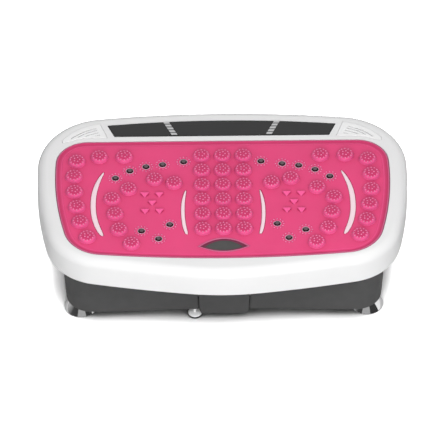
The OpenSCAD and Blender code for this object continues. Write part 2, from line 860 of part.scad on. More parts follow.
// Low nub with a steep flank and a slightly domed top, its foot sunk a little into the mat
module nub(x, y) {
    translate([x, y, mat_top]) rotate_extrude() polygon(concat(
        [[0, -eps], [nub_r, -eps]],
        [for (p = NUB_PROFILE) [nub_r * p[0], nub_h * p[1]]]
    ));
}

// Points of a crescent on the right half, grown all round: pointed at the back and blunt at the front
function crescent(c, grow) =
    let (
        mid = (c[0] + c[1]) / 2,
        half = (c[1] - c[0]) / 2,
        reach = half * (1 + grow / norm(half)),
        shares = [for (i = [0 : long_steps]) -cos(180 * i / long_steps)],
        line = [for (t = shares) mid + reach * t + [c[2] * (1 - pow(abs(t), 2.2)), 0]],
        width = [for (t = shares) grow + c[3] * (t < 0 ? pow(1 - t * t, 0.4) : pow(1 - pow(t, 8), 0.35))]
    )
    concat(
        [for (i = [0 : long_steps]) line[i] + [width[i], 0]],
        [for (i = [long_steps : -1 : 0]) line[i] - [width[i], 0]]
    );

function window_points(grow) =
    let (l = [-WINDOW[0] - grow, WINDOW[1]], r = [WINDOW[0] + grow, WINDOW[1]])
    concat(
        bow(l, r, WINDOW[2] - WINDOW[1] + grow, long_steps),
        bow(r, l, WINDOW[1] - WINDOW[3] + grow, long_steps)
    );

// Wedge that rises from its point at the front to its straight edge at the back
module small_triangle(x, y) {
    w = TRIANGLE_W / 2;
    l = TRIANGLE_L / 2;
    translate([x, y, mat_top]) intersection() {
        translate([0, 0, -eps]) linear_extrude(TRIANGLE_H + 2 * eps) polygon([[-w, l], [w, l], [0, -l]]);
        translate([-w - 1, 0, 0]) rotate([90, 0, 90]) linear_extrude(2 * w + 2)
            polygon([[-l - 1, -eps], [l + 1, -eps], [l + 1, TRIANGLE_H], [-l - 1, 0]]);
    }
}

module massage_mat() {
    color("hotpink") difference() {
        union() {
            plate(ring(mat_outline, 0), recess_z, mat_top);
            both_sides() for (p = NUBS) nub(p[0], p[1]);
            for (i = [-1 : 1], j = [0 : GRID_ROWS - 1]) nub(i * nub_pitch, GRID_BACK_Y - j * nub_pitch);
            both_sides() translate(TRIANGLE_AT) for (q = [[0, 0], [-1, -1], [-1, 1], [1, -1], [1, 1]])
                small_triangle(q[0] * TRIANGLE_STEP[0], q[1] * TRIANGLE_STEP[1]);
        }
        both_sides() {
            for (p = MAGNETS) post(p[0], p[1], magnet_hole_r, recess_z - 1, mat_top + 1);
            for (c = [OUTER_CRESCENT, INNER_CRESCENT])
                plate(crescent(c, land_gap), recess_z - 1, mat_top + 1);
        }
        plate(window_points(fit_gap), recess_z - 1, mat_top + 1);
    }
}

module magnets() {
    color("dimgray") both_sides() for (p = MAGNETS)
        post(p[0], p[1], magnet_r, recess_z, mat_top + magnet_h);
}

module sensor_window() {
    color("dimgray") plate(window_points(0), recess_z, mat_top - window_drop);
}

module control_panel() {
    color("dimgray") plate(panel_points(), panel_z, panel_z + panel_t);
}

module divider() {
    w = [divider_w / 2, 0];
    color("silver") plate(
        [DIVIDER_BACK - w, DIVIDER_BACK + w, DIVIDER_FRONT + w, DIVIDER_FRONT - w],
        panel_z + panel_t, panel_z + panel_t + divider_t
    );
}

// Insert of the right back corner, with curved grooves that end inside its border
module grille() {
    top = grille_z + grille_t;
    low = top - groove_depth;
    color("whitesmoke") difference() {
        plate(grille_points(), grille_z, top);
        intersection() {
            plate(GROOVE_AREA, low, top + 1);
            for (g = GROOVE_INSETS) translate(GRILLE_CENTRE) difference() {
                post(0, 0, grille_r - g + groove_w / 2, low - 1, top + 2, $fn = 96);
                post(0, 0, grille_r - g - groove_w / 2, low - 2, top + 3, $fn = 96);
            }
        }
    }
}

module speaker() {
    color("dimgray") translate([SPEAKER[0], SPEAKER[1], 0]) {
        post(0, 0, speaker_r, rim_z - casing_wall - 4, rim_z - casing_wall);
        post(0, 0, speaker_r - 4, rim_z - casing_wall - 10, rim_z - casing_wall - 3.5);
    }
}

module display_board() {
    top = rim_z - casing_wall;
    color("darkgreen") {
        block([-130, 113, top - 1.6], [130, 140, top]);
        for (x = [-100, -20, 60]) block([x, 118, top - 5], [x + 22, 134, top - 1.2]);
    }
}

module pivot_lug(side) {
    y0 = side > 0 ? LUG_Y[0] : -LUG_Y[1];
    y1 = side > 0 ? LUG_Y[1] : -LUG_Y[0];
    color("slategray") difference() {
        union() {
            block([-30, y0, frame_z - 5], [30, y1, frame_z]);
            block([-15, y0, pivot_z], [15, y1, frame_z]);
            rod_y(0, pivot_z, 15, y0, y1);
        }
        rod_y(0, pivot_z, pivot_r + 3, y0 - 1, y1 + 1);
    }
}

module pivot_bush(side) {
    y0 = side > 0 ? LUG_Y[0] : -LUG_Y[1];
    color("goldenrod") ring_y(0, pivot_z, pivot_r + run_gap, pivot_r + 3, y0, y0 + LUG_Y[1] - LUG_Y[0]);
}

// Bracket under the deck frame that holds the wrist pin
module rod_bracket() {
    inner = rod_half_t + 3.5;
    outer = inner + 5;
    x0 = crank_x - 16;
    x1 = crank_x + 30;
    low = wrist_z - 12;
    color("slategray") difference() {
        union() {
            block([x0, -outer, low], [x1, -inner, frame_z]);
            block([x0, inner, low], [x1, outer, frame_z]);
            block([x1 - 4, -outer, low], [x1, outer, frame_z]);
        }
        rod_y(crank_x, wrist_z, wrist_r, -outer - 1, outer + 1);
    }
}

module wrist_pin() {
    color("gainsboro") rod_y(crank_x, wrist_z, wrist_r, -rod_half_t - 10, rod_half_t + 10);
}

base_tray();
front_cover();
chassis_plate();
foot_bell(-foot_x, -foot_y);  // foot_bell_fl
foot_bell(foot_x, -foot_y);  // foot_bell_fr
foot_bell(-foot_x, foot_y);  // foot_bell_bl
foot_bell(foot_x, foot_y);  // foot_bell_br
suction_cup(-foot_x, -foot_y);  // suction_cup_fl
suction_cup(foot_x, -foot_y);  // suction_cup_fr
suction_cup(-foot_x, foot_y);  // suction_cup_bl
suction_cup(foot_x, foot_y);  // suction_cup_br
foot_bolts();
front_foot();
front_foot_sole();
pivot_block(-1);  // pivot_block_front
pivot_block(1);  // pivot_block_rear
pivot_shaft();
motor_can();
motor_end_bell();
motor_bracket();
crank_block(-1);  // crank_block_front
crank_block(1);  // crank_block_rear
crank_bearing(-1);  // crank_bearing_front
crank_bearing(1);  // crank_bearing_rear
drive_belt();
power_board();
transformer();
inlet_socket();
inlet_pins();
switch_bezel();
switch_rocker();
bump_stops();
base_screws();
top_casing();
deck_frame();
massage_mat();
magnets();
sensor_window();
control_panel();
mirror([1, 0, 0]) divider();  // divider_left
divider();  // divider_right
mirror([1, 0, 0]) grille();  // grille_left
grille();  // grille_right
mirror([1, 0, 0]) speaker();  // speaker_left
speaker();  // speaker_right
display_board();
pivot_lug(-1);  // pivot_lug_front
pivot_lug(1);  // pivot_lug_rear
pivot_bush(-1);  // pivot_bush_front
pivot_bush(1);  // pivot_bush_rear
rod_bracket();
wrist_pin();
deck_screws();
crankshaft();
crank_pulley();
motor_shaft();
motor_pulley();
connecting_rod();
rod_bearing();
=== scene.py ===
import math

import bmesh
import bpy
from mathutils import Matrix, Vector
from mathutils.geometry import tessellate_polygon


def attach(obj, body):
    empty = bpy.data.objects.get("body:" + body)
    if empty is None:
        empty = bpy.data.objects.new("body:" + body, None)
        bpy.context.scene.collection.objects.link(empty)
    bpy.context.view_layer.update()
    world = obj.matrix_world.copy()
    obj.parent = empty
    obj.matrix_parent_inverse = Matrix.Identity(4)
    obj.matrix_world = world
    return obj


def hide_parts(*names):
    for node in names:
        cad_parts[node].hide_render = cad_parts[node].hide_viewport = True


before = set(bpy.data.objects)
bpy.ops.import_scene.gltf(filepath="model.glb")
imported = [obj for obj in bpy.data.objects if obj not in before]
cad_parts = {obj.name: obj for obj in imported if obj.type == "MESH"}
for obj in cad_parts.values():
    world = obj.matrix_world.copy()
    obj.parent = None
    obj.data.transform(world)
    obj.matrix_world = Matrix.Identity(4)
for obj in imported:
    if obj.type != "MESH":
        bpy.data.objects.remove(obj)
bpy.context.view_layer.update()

# All lengths below are millimetres in the frame of the CAD model, unless a name says otherwise.
MM = 0.001

# View of the photograph: nearly parallel rays from a long lens
VIEW_AZIMUTH = -0.82
VIEW_ELEVATION = 44.6
VIEW_TARGET = (-4.04, 6.0, 65.0)
VIEW_WIDTH = 637.0
VIEW_DISTANCE = 25000.0
SENSOR_WIDTH = 36.0
# Nearest and farthest distance that the camera sees, in metres
VIEW_CLIP = (1.0, 60.0)

# Outlines of the deck and the mat: tangent arcs from the back to the front of the right half
DECK_SHAPE = {
    "back": 168.2, "back_r": 1670.0, "back_corner": 99.0,
    "half_w": 267.7, "side_y": 40.0, "side_r": 560.0,
    "front_corner": 84.0, "flank_r": 2000.0,
    "front": 168.2, "front_r": 410.0, "front_turn": 7.0,
}
MAT_SHAPE = {
    "back": 104.3, "back_r": 60000.0, "back_corner": 45.7,
    "half_w": 242.0, "side_y": 25.3, "side_r": 490.0,
    "front_corner": 57.0, "flank_r": 1730.0,
    "front": 137.6, "front_r": 1730.0, "front_turn": 2.0,
}
ARC_STEPS = (24, 24, 48, 24, 16, 16)
LONG_STEPS = 48
CORNER_STEPS = 24

# Deck levels
RIM_Z = 130.0
SKIRT_Z = 84.0
EDGE_R = 14.0
INNER_EDGE_R = 8.0
EDGE_STEPS = 12
CASING_WALL = 3.0
RECESS_Z = 125.0
MAT_TOP = 129.0
TUB_Z = 122.0
# Edge of the recess: gap round the mat and distance below the rim
RECESS_EDGE = [(0.3, RIM_Z - RECESS_Z), (0.3, 0.7), (0.5, 0.2), (1.0, 0.0)]
# Lower edge of the skirt: inset and height above it
SKIRT_EDGE = [(0.0, 1.2), (0.35, 0.35), (1.2, 0.0), (CASING_WALL, 0.0)]
# Gaps round and below the panel and round the grilles, and how far the forms that cut their pockets
# reach above the rim
PANEL_GAP = 0.4
PANEL_GAP_BELOW = 0.6
GRILLE_GAP = 0.6
CUT_RISE = 2.0

# Mat details on the right half
NUBS = [
    (210.5, 64.0), (215.0, 33.0), (214.5, 1.5), (211.5, -29.5), (207.0, -60.5), (197.0, -92.0),
    (178.0, 72.5), (142.0, 72.5), (98.5, 25.5), (70.5, 17.5), (136.5, 6.0),
    (160.5, -14.0), (156.5, -45.0), (151.0, -77.0), (133.5, -106.0),
]
NUB_PITCH = 30.0
GRID_BACK_Y = 73.0
GRID_ROWS = 6
MAGNETS = [
    (56.0, 61.5), (86.5, 56.0), (110.5, 52.0), (134.0, 43.5), (155.0, 29.0),
    (118.5, -80.0), (77.5, -67.5), (94.0, -96.5),
]
MAGNET_R = 3.6
MAGNET_TOP = 130.5
MAGNET_HOLE_R = 5.3
TRIANGLE_AT = (102.5, -24.5)
TRIANGLE_STEP = (10.5, 17.0)
TRIANGLE_HALF_W = 6.3
TRIANGLE_HALF_L = 4.4
TRIANGLE_H = 3.0
# Crescents: back tip and front end of the middle line, its swell, and half the land's width
OUTER_CRESCENT = ((172.0, 41.0), (174.8, -88.5), 14.2, 3.6)
INNER_CRESCENT = ((53.6, 2.5), (53.0, -87.0), 5.0, 2.45)
LAND_GAP = 0.9
WINDOW_HALF_W = 34.0
WINDOW_TIP_Y = -113.0
WINDOW_BACK_BOW = 15.0
WINDOW_FRONT_BOW = 9.0
WINDOW_TOP = 128.2

# Control panel and the corner grilles
PANEL_BACK = (165.5, 137.0)
PANEL_FRONT = (155.2, 113.9)
PANEL_BACK_BOW = 8.7
PANEL_Z = 129.0
PANEL_TOP = 130.4
DIVIDER_BACK = (80.4, 142.8)
DIVIDER_FRONT = (68.5, 116.2)
DIVIDER_W = 8.4
DIVIDER_RUNGS = 5
RUNG_SHARE = 0.58
GRILLE_CENTRE = (163.6, 57.4)
GRILLE_R = 83.5
GRILLE_TIP = (230.4, 102.5)
GRILLE_IN_BACK = (176.0, 139.5)
GRILLE_IN_FRONT = (166.2, 111.8)
GRILLE_FRONT = [(220.0, 105.6), (209.0, 109.6), (200.0, 111.4)]
GRILLE_Z = 128.0
GRILLE_TOP = 130.6
GROOVE_INSETS = [7.4, 11.4, 16.4, 21.7]
GROOVE_AREA = [
    (184.0, 140.0), (175.5, 116.5), (199.0, 114.8),
    (210.0, 112.7), (220.0, 108.2), (228.0, 140.0),
]
GROOVE_PROBES = 360
GROOVE_W = 1.7
GROOVE_FLOOR = 129.0

# Base
BASE_HALF_W = 233.0
BASE_LEAN = 5.3
BASE_HALF_D = 130.0
BASE_CORNER = 36.0
BASE_Z = 18.0
BASE_FLOOR = 21.0
BASE_TOP = 90.0
BASE_STEPS = 16
# Lower edge of the base: its drop in the middle and at the corners, where it dips, its lip's width
LIP_DROP = (0.5, 4.0)
LIP_REACH = (55.0, 175.0)
LIP_W = 4.0
LIP_STEPS = 16
# Upper rim of the base from its floor to its outside: height and inset
BASE_RIM = [
    (BASE_FLOOR, 3.0), (BASE_TOP - 0.8, 3.0), (BASE_TOP, 2.4), (BASE_TOP, 0.7), (BASE_TOP - 0.7, 0.0),
]
# Rounding of its lower edge: height above the edge and inset
LIP_PROFILE = [(3.0, 0.0), (1.6, 0.35), (0.6, 1.1), (0.1, 2.2), (0.0, 3.2), (0.0, LIP_W)]
# Notches for the cover in the front wall: gap and depth of each, levels, and reach outside the wall
NOTCHES = [(0.9, 10.0), (2.4, 1.4)]
NOTCH_Z = (BASE_TOP + 1.0, BASE_Z - 6.0)
NOTCH_OUT = 5.0
COVER_HALF_W = 35.6
COVER_FLARE = 3.0
COVER_Z = 10.4
COVER_FRONT = -131.0
COVER_TAPER = (2.6, 7.3)
COVER_DEPTH = 4.0
COVER_EDGE = 1.5
KEEL_BACK = -52.0
KEEL_START = 0.6
KEEL_EDGE = 0.9
FOOT_AT = (207.0, 102.0)
FRONT_FOOT_AT = (-42.0, -121.0)
INLET_X = -120.0
SWITCH_X = -70.0
SOCKET_Z = 52.0
# Boxes of the rear sockets: half width, half height, start and end outside the rear wall
INLET_HOLE = (13.5, 12.0, -5.0, 5.0)
INLET_MOUTH = (12.0, 8.2, -15.0, 3.0)
SWITCH_HOLE = (10.5, 9.0, -5.0, 5.0)
SWITCH_MOUTH = (7.0, 8.2, -12.0, 3.0)
# Flange and well of each, with the radius and steps of their edges
INLET_PIECES = {
    "inlet_body": ((16.0, 14.5, 0.0, 2.5), 0.9, 3),
    "inlet_well": ((13.3, 11.8, -20.0, 0.5), 0.6, 2),
}
SWITCH_PIECES = {
    "switch_flange": ((13.0, 11.5, 0.0, 2.0), 0.8, 3),
    "switch_well": ((10.3, 8.8, -16.0, 0.5), 0.4, 2),
}
ROCKER_Y = 128.0
ROCKER_TILT = 8.0
ROCKER_W = 13.0
ROCKER_EDGE = 0.35
# Section of the rocker: distance out of the wall and height
ROCKER_PROFILE = [
    (-2.0, -6.6), (4.4, -6.9), (3.0, -3.2), (2.4, 0.0), (3.0, 3.2), (4.4, 6.9), (-2.0, 6.6),
]


def heading(start, end):
    return math.atan2(end[1] - start[1], end[0] - start[0])


def meeting(c0, r0, c1, r1, side):
    """Where two circles meet, left (1) or right (-1) of the line between their centres."""
    dx = c1[0] - c0[0]
    dy = c1[1] - c0[1]
    d = math.hypot(dx, dy)
    along = (r0 * r0 - r1 * r1 + d * d) / (2 * d)
    across = side * math.sqrt(r0 * r0 - along * along)
    return (
        c0[0] + (dx * along - dy * across) / d,
        c0[1] + (dy * along + dx * across) / d,
    )


def outline(
    back, back_r, back_corner, half_w, side_y, side_r,
    front_corner, flank_r, front, front_r, front_turn,
):
    """Arcs of the right half, from the middle of the back to the middle of the front.

    Each is a centre, a radius, the angles where it starts and ends, and its steps.
    """
    turn = math.radians(front_turn)
    b = (0.0, back - back_r)
    s = (half_w - side_r, side_y)
    f = (0.0, front_r - front)
    k = (f[0] - (flank_r - front_r) * math.sin(turn), f[1] + (flank_r - front_r) * math.cos(turn))
    cb = meeting(b, back_r - back_corner, s, side_r - back_corner, -1)
    cf = meeting(k, flank_r - front_corner, s, side_r - front_corner, 1)
    side = math.pi / 2
    centres = (b, cb, s, cf, k, f)
    radii = (back_r, back_corner, side_r, front_corner, flank_r, front_r)
    turns = (side, heading(b, cb), heading(s, cb), heading(s, cf), heading(k, cf), turn - side, -side)
    return list(zip(centres, radii, turns, turns[1:], ARC_STEPS))


def arc(centre, radius, start, end, steps):
    points = []
    for i in range(steps):
        a = start + (end - start) * i / steps
        points.append((centre[0] + radius * math.cos(a), centre[1] + radius * math.sin(a)))
    return points


def flip(point):
    return (-point[0], point[1])


def rectangle(low, high):
    return [(low[0], low[1]), (high[0], low[1]), (high[0], high[1]), (low[0], high[1])]


def circle(x, y, radius, steps):
    return arc((x, y), radius, 0.0, 2 * math.pi, steps)


def mirrored(points):
    return [flip(p) for p in reversed(points)]


def ring(arcs, inset):
    """Closed loop of an outline drawn in by inset, clockwise from the middle of its back."""
    points = []
    for centre, radius, start, end, steps in arcs:
        points += arc(centre, radius - inset, start, end, steps)
    for centre, radius, start, end, steps in reversed(arcs):
        points += arc(flip(centre), radius - inset, -math.pi - end, -math.pi - start, steps)
    return points


def bow(a, b, sag, steps):
    """Points of a shallow bow from a towards b that swells by sag to the left of the way there."""
    length = math.hypot(b[0] - a[0], b[1] - a[1])
    nx = (a[1] - b[1]) / length
    ny = (b[0] - a[0]) / length
    points = []
    for i in range(steps):
        t = 2 * i / steps - 1
        lift = sag * (1 - t * t)
        points.append((
            (a[0] + b[0]) / 2 + (b[0] - a[0]) * t / 2 + nx * lift,
            (a[1] + b[1]) / 2 + (b[1] - a[1]) * t / 2 + ny * lift,
        ))
    return points


def box_ring(half_w, half_d, radius, stations):
    """Rounded rectangle, clockwise from its back right, with points at given X on its long sides."""
    x = half_w - radius
    y = half_d - radius

    def corner(cx, cy, start):
        turns = [math.radians(start - 90.0 * i / BASE_STEPS) for i in range(BASE_STEPS + 1)]
        return [(cx + radius * math.cos(a), cy + radius * math.sin(a)) for a in turns]

    return (
        corner(x, y, 90.0) + corner(x, -y, 0.0) + [(-s, -half_d) for s in stations]
        + corner(-x, -y, -90.0) + corner(-x, y, 180.0) + [(s, half_d) for s in stations]
    )


def signed_area(loop):
    total = 0.0
    for (x0, y0), (x1, y1) in zip(loop, loop[1:] + loop[:1]):
        total += x0 * y1 - x1 * y0
    return total / 2


def turned(loop, counterclockwise):
    return loop if (signed_area(loop) > 0) == counterclockwise else loop[::-1]


def inside(point, loop):
    x, y = point
    found = False
    for (x0, y0), (x1, y1) in zip(loop, loop[1:] + loop[:1]):
        if (y0 > y) != (y1 > y) and x < x0 + (x1 - x0) * (y - y0) / (y1 - y0):
            found = not found
    return found


# Limits of a mitred corner: least share of its normals in line, and most reach as a share of the distance
MITRE_LEAST = 0.4
MITRE_MOST = 2.5


def drawn_in(loop, distance):
    """Loop moved to the left of its direction by distance, with mitred corners."""
    count = len(loop)
    moved = []
    for i in range(count):
        before = loop[i - 1]
        here = loop[i]
        after = loop[(i + 1) % count]
        d0 = Vector((here[0] - before[0], here[1] - before[1])).normalized()
        d1 = Vector((after[0] - here[0], after[1] - here[1])).normalized()
        n0 = Vector((-d0.y, d0.x))
        n1 = Vector((-d1.y, d1.x))
        middle = n0 + n1
        if middle.length < 1e-6:
            middle = n0
        middle.normalize()
        reach = min(distance / max(middle.dot(n1), MITRE_LEAST), abs(distance) * MITRE_MOST)
        moved.append((here[0] + middle.x * reach, here[1] + middle.y * reach))
    return moved


def at_z(loop, z):
    return [(x, y, z) for x, y in loop]


# Colours kept at each point of the mat's mesh, most of them painted light and shade: painted shadow deep
# in the gaps round the magnets, painted shadow in the gap round the mat and on the window's inner edge,
# painted soft shadow on the nub tops, in the lip's channel and round the lands, the rubber's own pink on
# the open field, painted light on the nubs' flanks and the triangles, painted highlights on the pimples,
# and the lips' colour
MAT_COLOURS = [
    (0.05, 0.006, 0.018), (0.16, 0.018, 0.055), (0.66, 0.036, 0.155), (0.86, 0.066, 0.224),
    (0.97, 0.115, 0.345), (1.0, 0.26, 0.50), (0.64, 0.130, 0.270),
]
PAINTED_GAP_SHADOW, PAINTED_EDGE_SHADOW, PAINTED_SOFT_SHADOW, FIELD, PAINTED_LIT_FACE, PAINTED_GLINT, DUSTY = range(len(MAT_COLOURS))


# Degrees from a dome's tip down to its buried foot
DOME_SWEEP = 100.0


def tint(tone):
    """Colour of a tone, or of a place between two tones."""
    low = int(tone)
    high = min(low + 1, len(MAT_COLOURS) - 1)
    return [a + (b - a) * (tone - low) for a, b in zip(MAT_COLOURS[low], MAT_COLOURS[high])]


class Shape:
    """Points, faces and a tone at each point, gathered for one mesh."""

    def __init__(self):
        self.points = []
        self.faces = []
        self.tones = []

    def add(self, points, faces, tones=None):
        first = len(self.points)
        self.points.extend(points)
        self.faces.extend([first + i for i in face] for face in faces)
        self.tones.extend(tones if tones else [FIELD] * len(points))
        return self

    def loft(self, rings, capped=True, closed=False, tones=None):
        """Skin through loops of equal point counts, capped at both ends or closed on itself."""
        count = len(rings[0])
        points = [p for r in rings for p in r]
        faces = []
        spans = len(rings) if closed else len(rings) - 1
        for k in range(spans):
            low = k * count
            high = ((k + 1) % len(rings)) * count
            for i in range(count):
                j = (i + 1) % count
                faces.append([low + j, low + i, high + i, high + j])
        if capped and not closed:
            last = (len(rings) - 1) * count
            faces.append(list(range(count)))
            faces.append([last + i for i in range(count - 1, -1, -1)])
        marks = [tone for tone in tones for i in range(count)] if tones else None
        return self.add(points, faces, marks)

    def skin(self, rows, tones, closed=False):
        """Faces between rows of points, each with a tone; a row of one point is a tip."""
        starts = [sum(len(row) for row in rows[:k]) for k in range(len(rows))]
        spans = list(zip(starts, rows))
        pairs = list(zip(spans, spans[1:]))
        if closed:
            pairs.append((spans[-1], spans[0]))
        faces = []
        for (low, low_row), (high, high_row) in pairs:
            count = max(len(low_row), len(high_row))
            if count == 1:
                continue
            for i in range(count):
                j = (i + 1) % count
                if len(low_row) == 1:
                    faces.append([low, high + j, high + i])
                elif len(high_row) == 1:
                    faces.append([low + i, low + j, high])
                else:
                    faces.append([low + i, low + j, high + j, high + i])
        points = [p for row in rows for p in row]
        return self.add(points, faces, [tone for row, tone in zip(rows, tones) for p in row])

    def lathe(self, profile, centre, steps, tones=None, closed=False):
        """Turned form about a vertical axis; a profile point of radius 0 closes it to a tip."""
        rows = [at_z(circle(*centre, r, steps if r else 1), z) for r, z in profile]
        return self.skin(rows, tones or [FIELD] * len(rows), closed)

    def dome(self, centre, along, across, up, size, tone, sides=9, levels=3):
        """Small rounded bump; size is its half length, half width and height."""
        rows = []
        for k in range(levels):
            tilt = math.radians(DOME_SWEEP - DOME_SWEEP * k / levels)
            row = []
            for x, y in circle(0.0, 0.0, math.sin(tilt), sides):
                flat = along * (size[0] * x) + across * (size[1] * y)
                row.append(tuple(centre + (flat + up * (size[2] * math.cos(tilt)))))
            rows.append(row)
        rows.append([tuple(centre + up * size[2])])
        self.skin(rows, [tone] * len(rows))

    def plate(self, edge, holes, z0, z1, bevel, steps=3):
        """Flat plate with holes, its upper rims rounded by bevel."""
        loops = [turned(edge, True)] + [turned(hole, False) for hole in holes]
        tops = []
        bottoms = []
        for loop in loops:
            rings = [at_z(loop, z0)]
            for k in range(steps + 1):
                a = math.radians(90.0 * k / steps)
                shrunk = drawn_in(loop, bevel * (1 - math.cos(a)))
                rings.append(at_z(shrunk, z1 - bevel * (1 - math.sin(a))))
            first = len(self.points)
            count = len(loop)
            self.loft(rings, capped=False)
            bottoms.append((first, count))
            tops.append((first + (len(rings) - 1) * count, count))
        for level, flipped in ((tops, False), (bottoms, True)):
            indices = [i for first, count in level for i in range(first, first + count)]
            lines = [
                [Vector(p) for p in self.points[first:first + count]] for first, count in level
            ]
            for triangle in tessellate_polygon(lines):
                face = [indices[i] for i in triangle]
                self.faces.append(face[::-1] if flipped else face)
        return self

    def block(self, low, high, bevel, steps=2):
        """Box with rounded edges."""
        return self.prism(rectangle(low, high), low[2], high[2], bevel, steps)

    def prism(self, loop, z0, z1, bevel, steps=2, turn=None):
        """Upright prism with rounded edges; turn maps its points to where they go."""
        bm = bmesh.new()
        low = [bm.verts.new((x, y, z0)) for x, y in turned(loop, True)]
        high = [bm.verts.new((v.co.x, v.co.y, z1)) for v in low]
        bm.faces.new(low[::-1])
        bm.faces.new(high)
        for i in range(len(low)):
            j = (i + 1) % len(low)
            bm.faces.new([low[i], low[j], high[j], high[i]])
        bmesh.ops.bevel(
            bm, geom=bm.edges[:], offset=bevel, segments=steps, profile=0.5,
            affect="EDGES", clamp_overlap=True,
        )
        bm.verts.index_update()
        points = [tuple(v.co) for v in bm.verts]
        faces = [[v.index for v in f.verts] for f in bm.faces]
        bm.free()
        if turn:
            points = [turn(p) for p in points]
        return self.add(points, faces)


def linked(name, data):
    obj = bpy.data.objects.new(name, data)
    bpy.context.scene.collection.objects.link(obj)
    return obj


def new_object(name, shape):
    mesh = bpy.data.meshes.new(name)
    mesh.from_pydata([[c * MM for c in p] for p in shape.points], [], shape.faces)
    tints = mesh.attributes.new("tint", "FLOAT_VECTOR", "POINT")
    tints.data.foreach_set("vector", [part for tone in shape.tones for part in tint(tone)])
    bm = bmesh.new()
    bm.from_mesh(mesh)
    bmesh.ops.recalc_face_normals(bm, faces=bm.faces[:])
    bm.to_mesh(mesh)
    bm.free()
    return linked(name, mesh)


def carve(obj, shape):
    """Cuts the closed forms of a shape out of an object's mesh."""
    cutter = new_object("cutter", shape)
    cut = obj.modifiers.new("cut", "BOOLEAN")
    cut.operation = "DIFFERENCE"
    cut.solver = "EXACT"
    cut.object = cutter
    bpy.context.view_layer.update()
    depsgraph = bpy.context.evaluated_depsgraph_get()
    whole = obj.data
    obj.data = bpy.data.meshes.new_from_object(obj.evaluated_get(depsgraph))
    obj.modifiers.clear()
    bpy.data.meshes.remove(whole)
    bpy.data.objects.remove(cutter)


# Degrees between two faces above which the edge between them stays sharp
SHARP_ANGLE = 38.0
SHARP_ANGLE_LANDS = 50.0
SHARP_ANGLE_MAT = 60.0
SHARP_ANGLE_CAD = 30.0


def dress(obj, body, slot, replaced=(), finish=None, sharp=SHARP_ANGLE):
    """Smooth shading with flat faces kept flat, a finish, and the body that the piece rides on.

    The finish is that of the slot unless another is named.
    """
    obj.data.shade_smooth()
    obj.data.set_sharp_from_angle(angle=math.radians(sharp))
    even = obj.modifiers.new("even_normals", "WEIGHTED_NORMAL")
    even.keep_sharp = True
    obj.data.materials.clear()
    obj.data.materials.append(finishes[finish or slot])
    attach(obj, body)
    if replaced:
        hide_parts(*replaced)


def piece(name, shape, body, slot, replaced=(), finish=None, sharp=SHARP_ANGLE):
    dress(new_object(name, shape), body, slot, replaced, finish, sharp)


class Tree:
    """Shader nodes of a material or a world."""

    def __init__(self, owner):
        owner.use_nodes = True
        self.nodes = owner.node_tree.nodes
        self.links = owner.node_tree.links

    def feed(self, socket, value):
        """Sets an input to a number, a vector or a colour, or links an output to it."""
        if isinstance(value, bpy.types.NodeSocket):
            self.links.new(value, socket)
        elif socket.type == "RGBA":
            socket.default_value = (*value, 1.0)
        else:
            socket.default_value = value

    def add(self, kind, **values):
        node = self.nodes.new("ShaderNode" + kind)
        for key, value in values.items():
            self.feed(node.inputs[key.replace("_", " ")], value)
        return node

    def maths(self, operation, first, second):
        node = self.add("Math")
        node.operation = operation
        self.links.new(first, node.inputs[0])
        self.links.new(second, node.inputs[1])
        return node.outputs[0]

    def ranged(self, value, low, high, from_low=0.3, from_high=0.7):
        """Value mapped to a range; the range it comes from is that of a noise unless given."""
        node = self.add(
            "MapRange", Value=value, From_Min=from_low, From_Max=from_high, To_Min=low, To_Max=high,
        )
        return node.outputs["Result"]

    def blend(self, factor, first, second, how="MIX"):
        """Colour between first and second, each a colour or an output."""
        node = self.add("Mix")
        node.data_type = "RGBA"
        node.blend_type = how
        self.feed(node.inputs["Factor"], factor)
        self.feed(node.inputs[6], first)
        self.feed(node.inputs[7], second)
        return node.outputs[2]

    def mixed(self, factor, first, second):
        """Shader between two others."""
        node = self.add("MixShader", Fac=factor)
        self.links.new(first.outputs[0], node.inputs[1])
        self.links.new(second.outputs[0], node.inputs[2])
        return node

    def show(self, kind, shader):
        self.links.new(shader.outputs[0], self.add("Output" + kind).inputs["Surface"])


def bare_tree(owner):
    tree = Tree(owner)
    tree.nodes.clear()
    return tree


# Edge wear: how strong it gets, and the edge sharpness where it starts and is full
WEAR_SHARE = 0.5
WEAR_EDGE = (0.53, 0.62)
GRAIN_DETAIL = 2.0


class Finish(Tree):
    """Procedural material around a principled shader."""

    def __init__(self, name):
        self.material = bpy.data.materials.new(name)
        super().__init__(self.material)
        self.shader = self.nodes["Principled BSDF"]
        self.place = self.add("TexCoord").outputs["Object"]

    def set(self, **values):
        for key, value in values.items():
            self.feed(self.shader.inputs[key.replace("_", " ")], value)

    def noise(self, scale, detail=3.0, stretch=None):
        place = self.place
        if stretch:
            place = self.add("Mapping", Scale=stretch, Vector=place).outputs["Vector"]
        return self.add("TexNoise", Scale=scale, Detail=detail, Vector=place).outputs["Fac"]

    def mottled(self, colour, spread, scale):
        """Colour that drifts by a share of itself over the surface."""
        low = tuple(c * (1 - spread) for c in colour)
        high = tuple(min(1.0, c * (1 + spread)) for c in colour)
        return self.blend(self.ranged(self.noise(scale), 0.0, 1.0), low, high)

    def worn(self, colour, worn_colour):
        """Lighter tone on convex edges."""
        edge = self.add("NewGeometry").outputs["Pointiness"]
        return self.blend(self.ranged(edge, 0.0, WEAR_SHARE, *WEAR_EDGE), colour, worn_colour)

    def rough(self, low, high, scale):
        self.set(Roughness=self.ranged(self.noise(scale), low, high))

    def bump(self, height, strength, distance_mm):
        node = self.add("Bump", Strength=strength, Distance=distance_mm * MM, Height=height)
        self.set(Normal=node.outputs["Normal"])


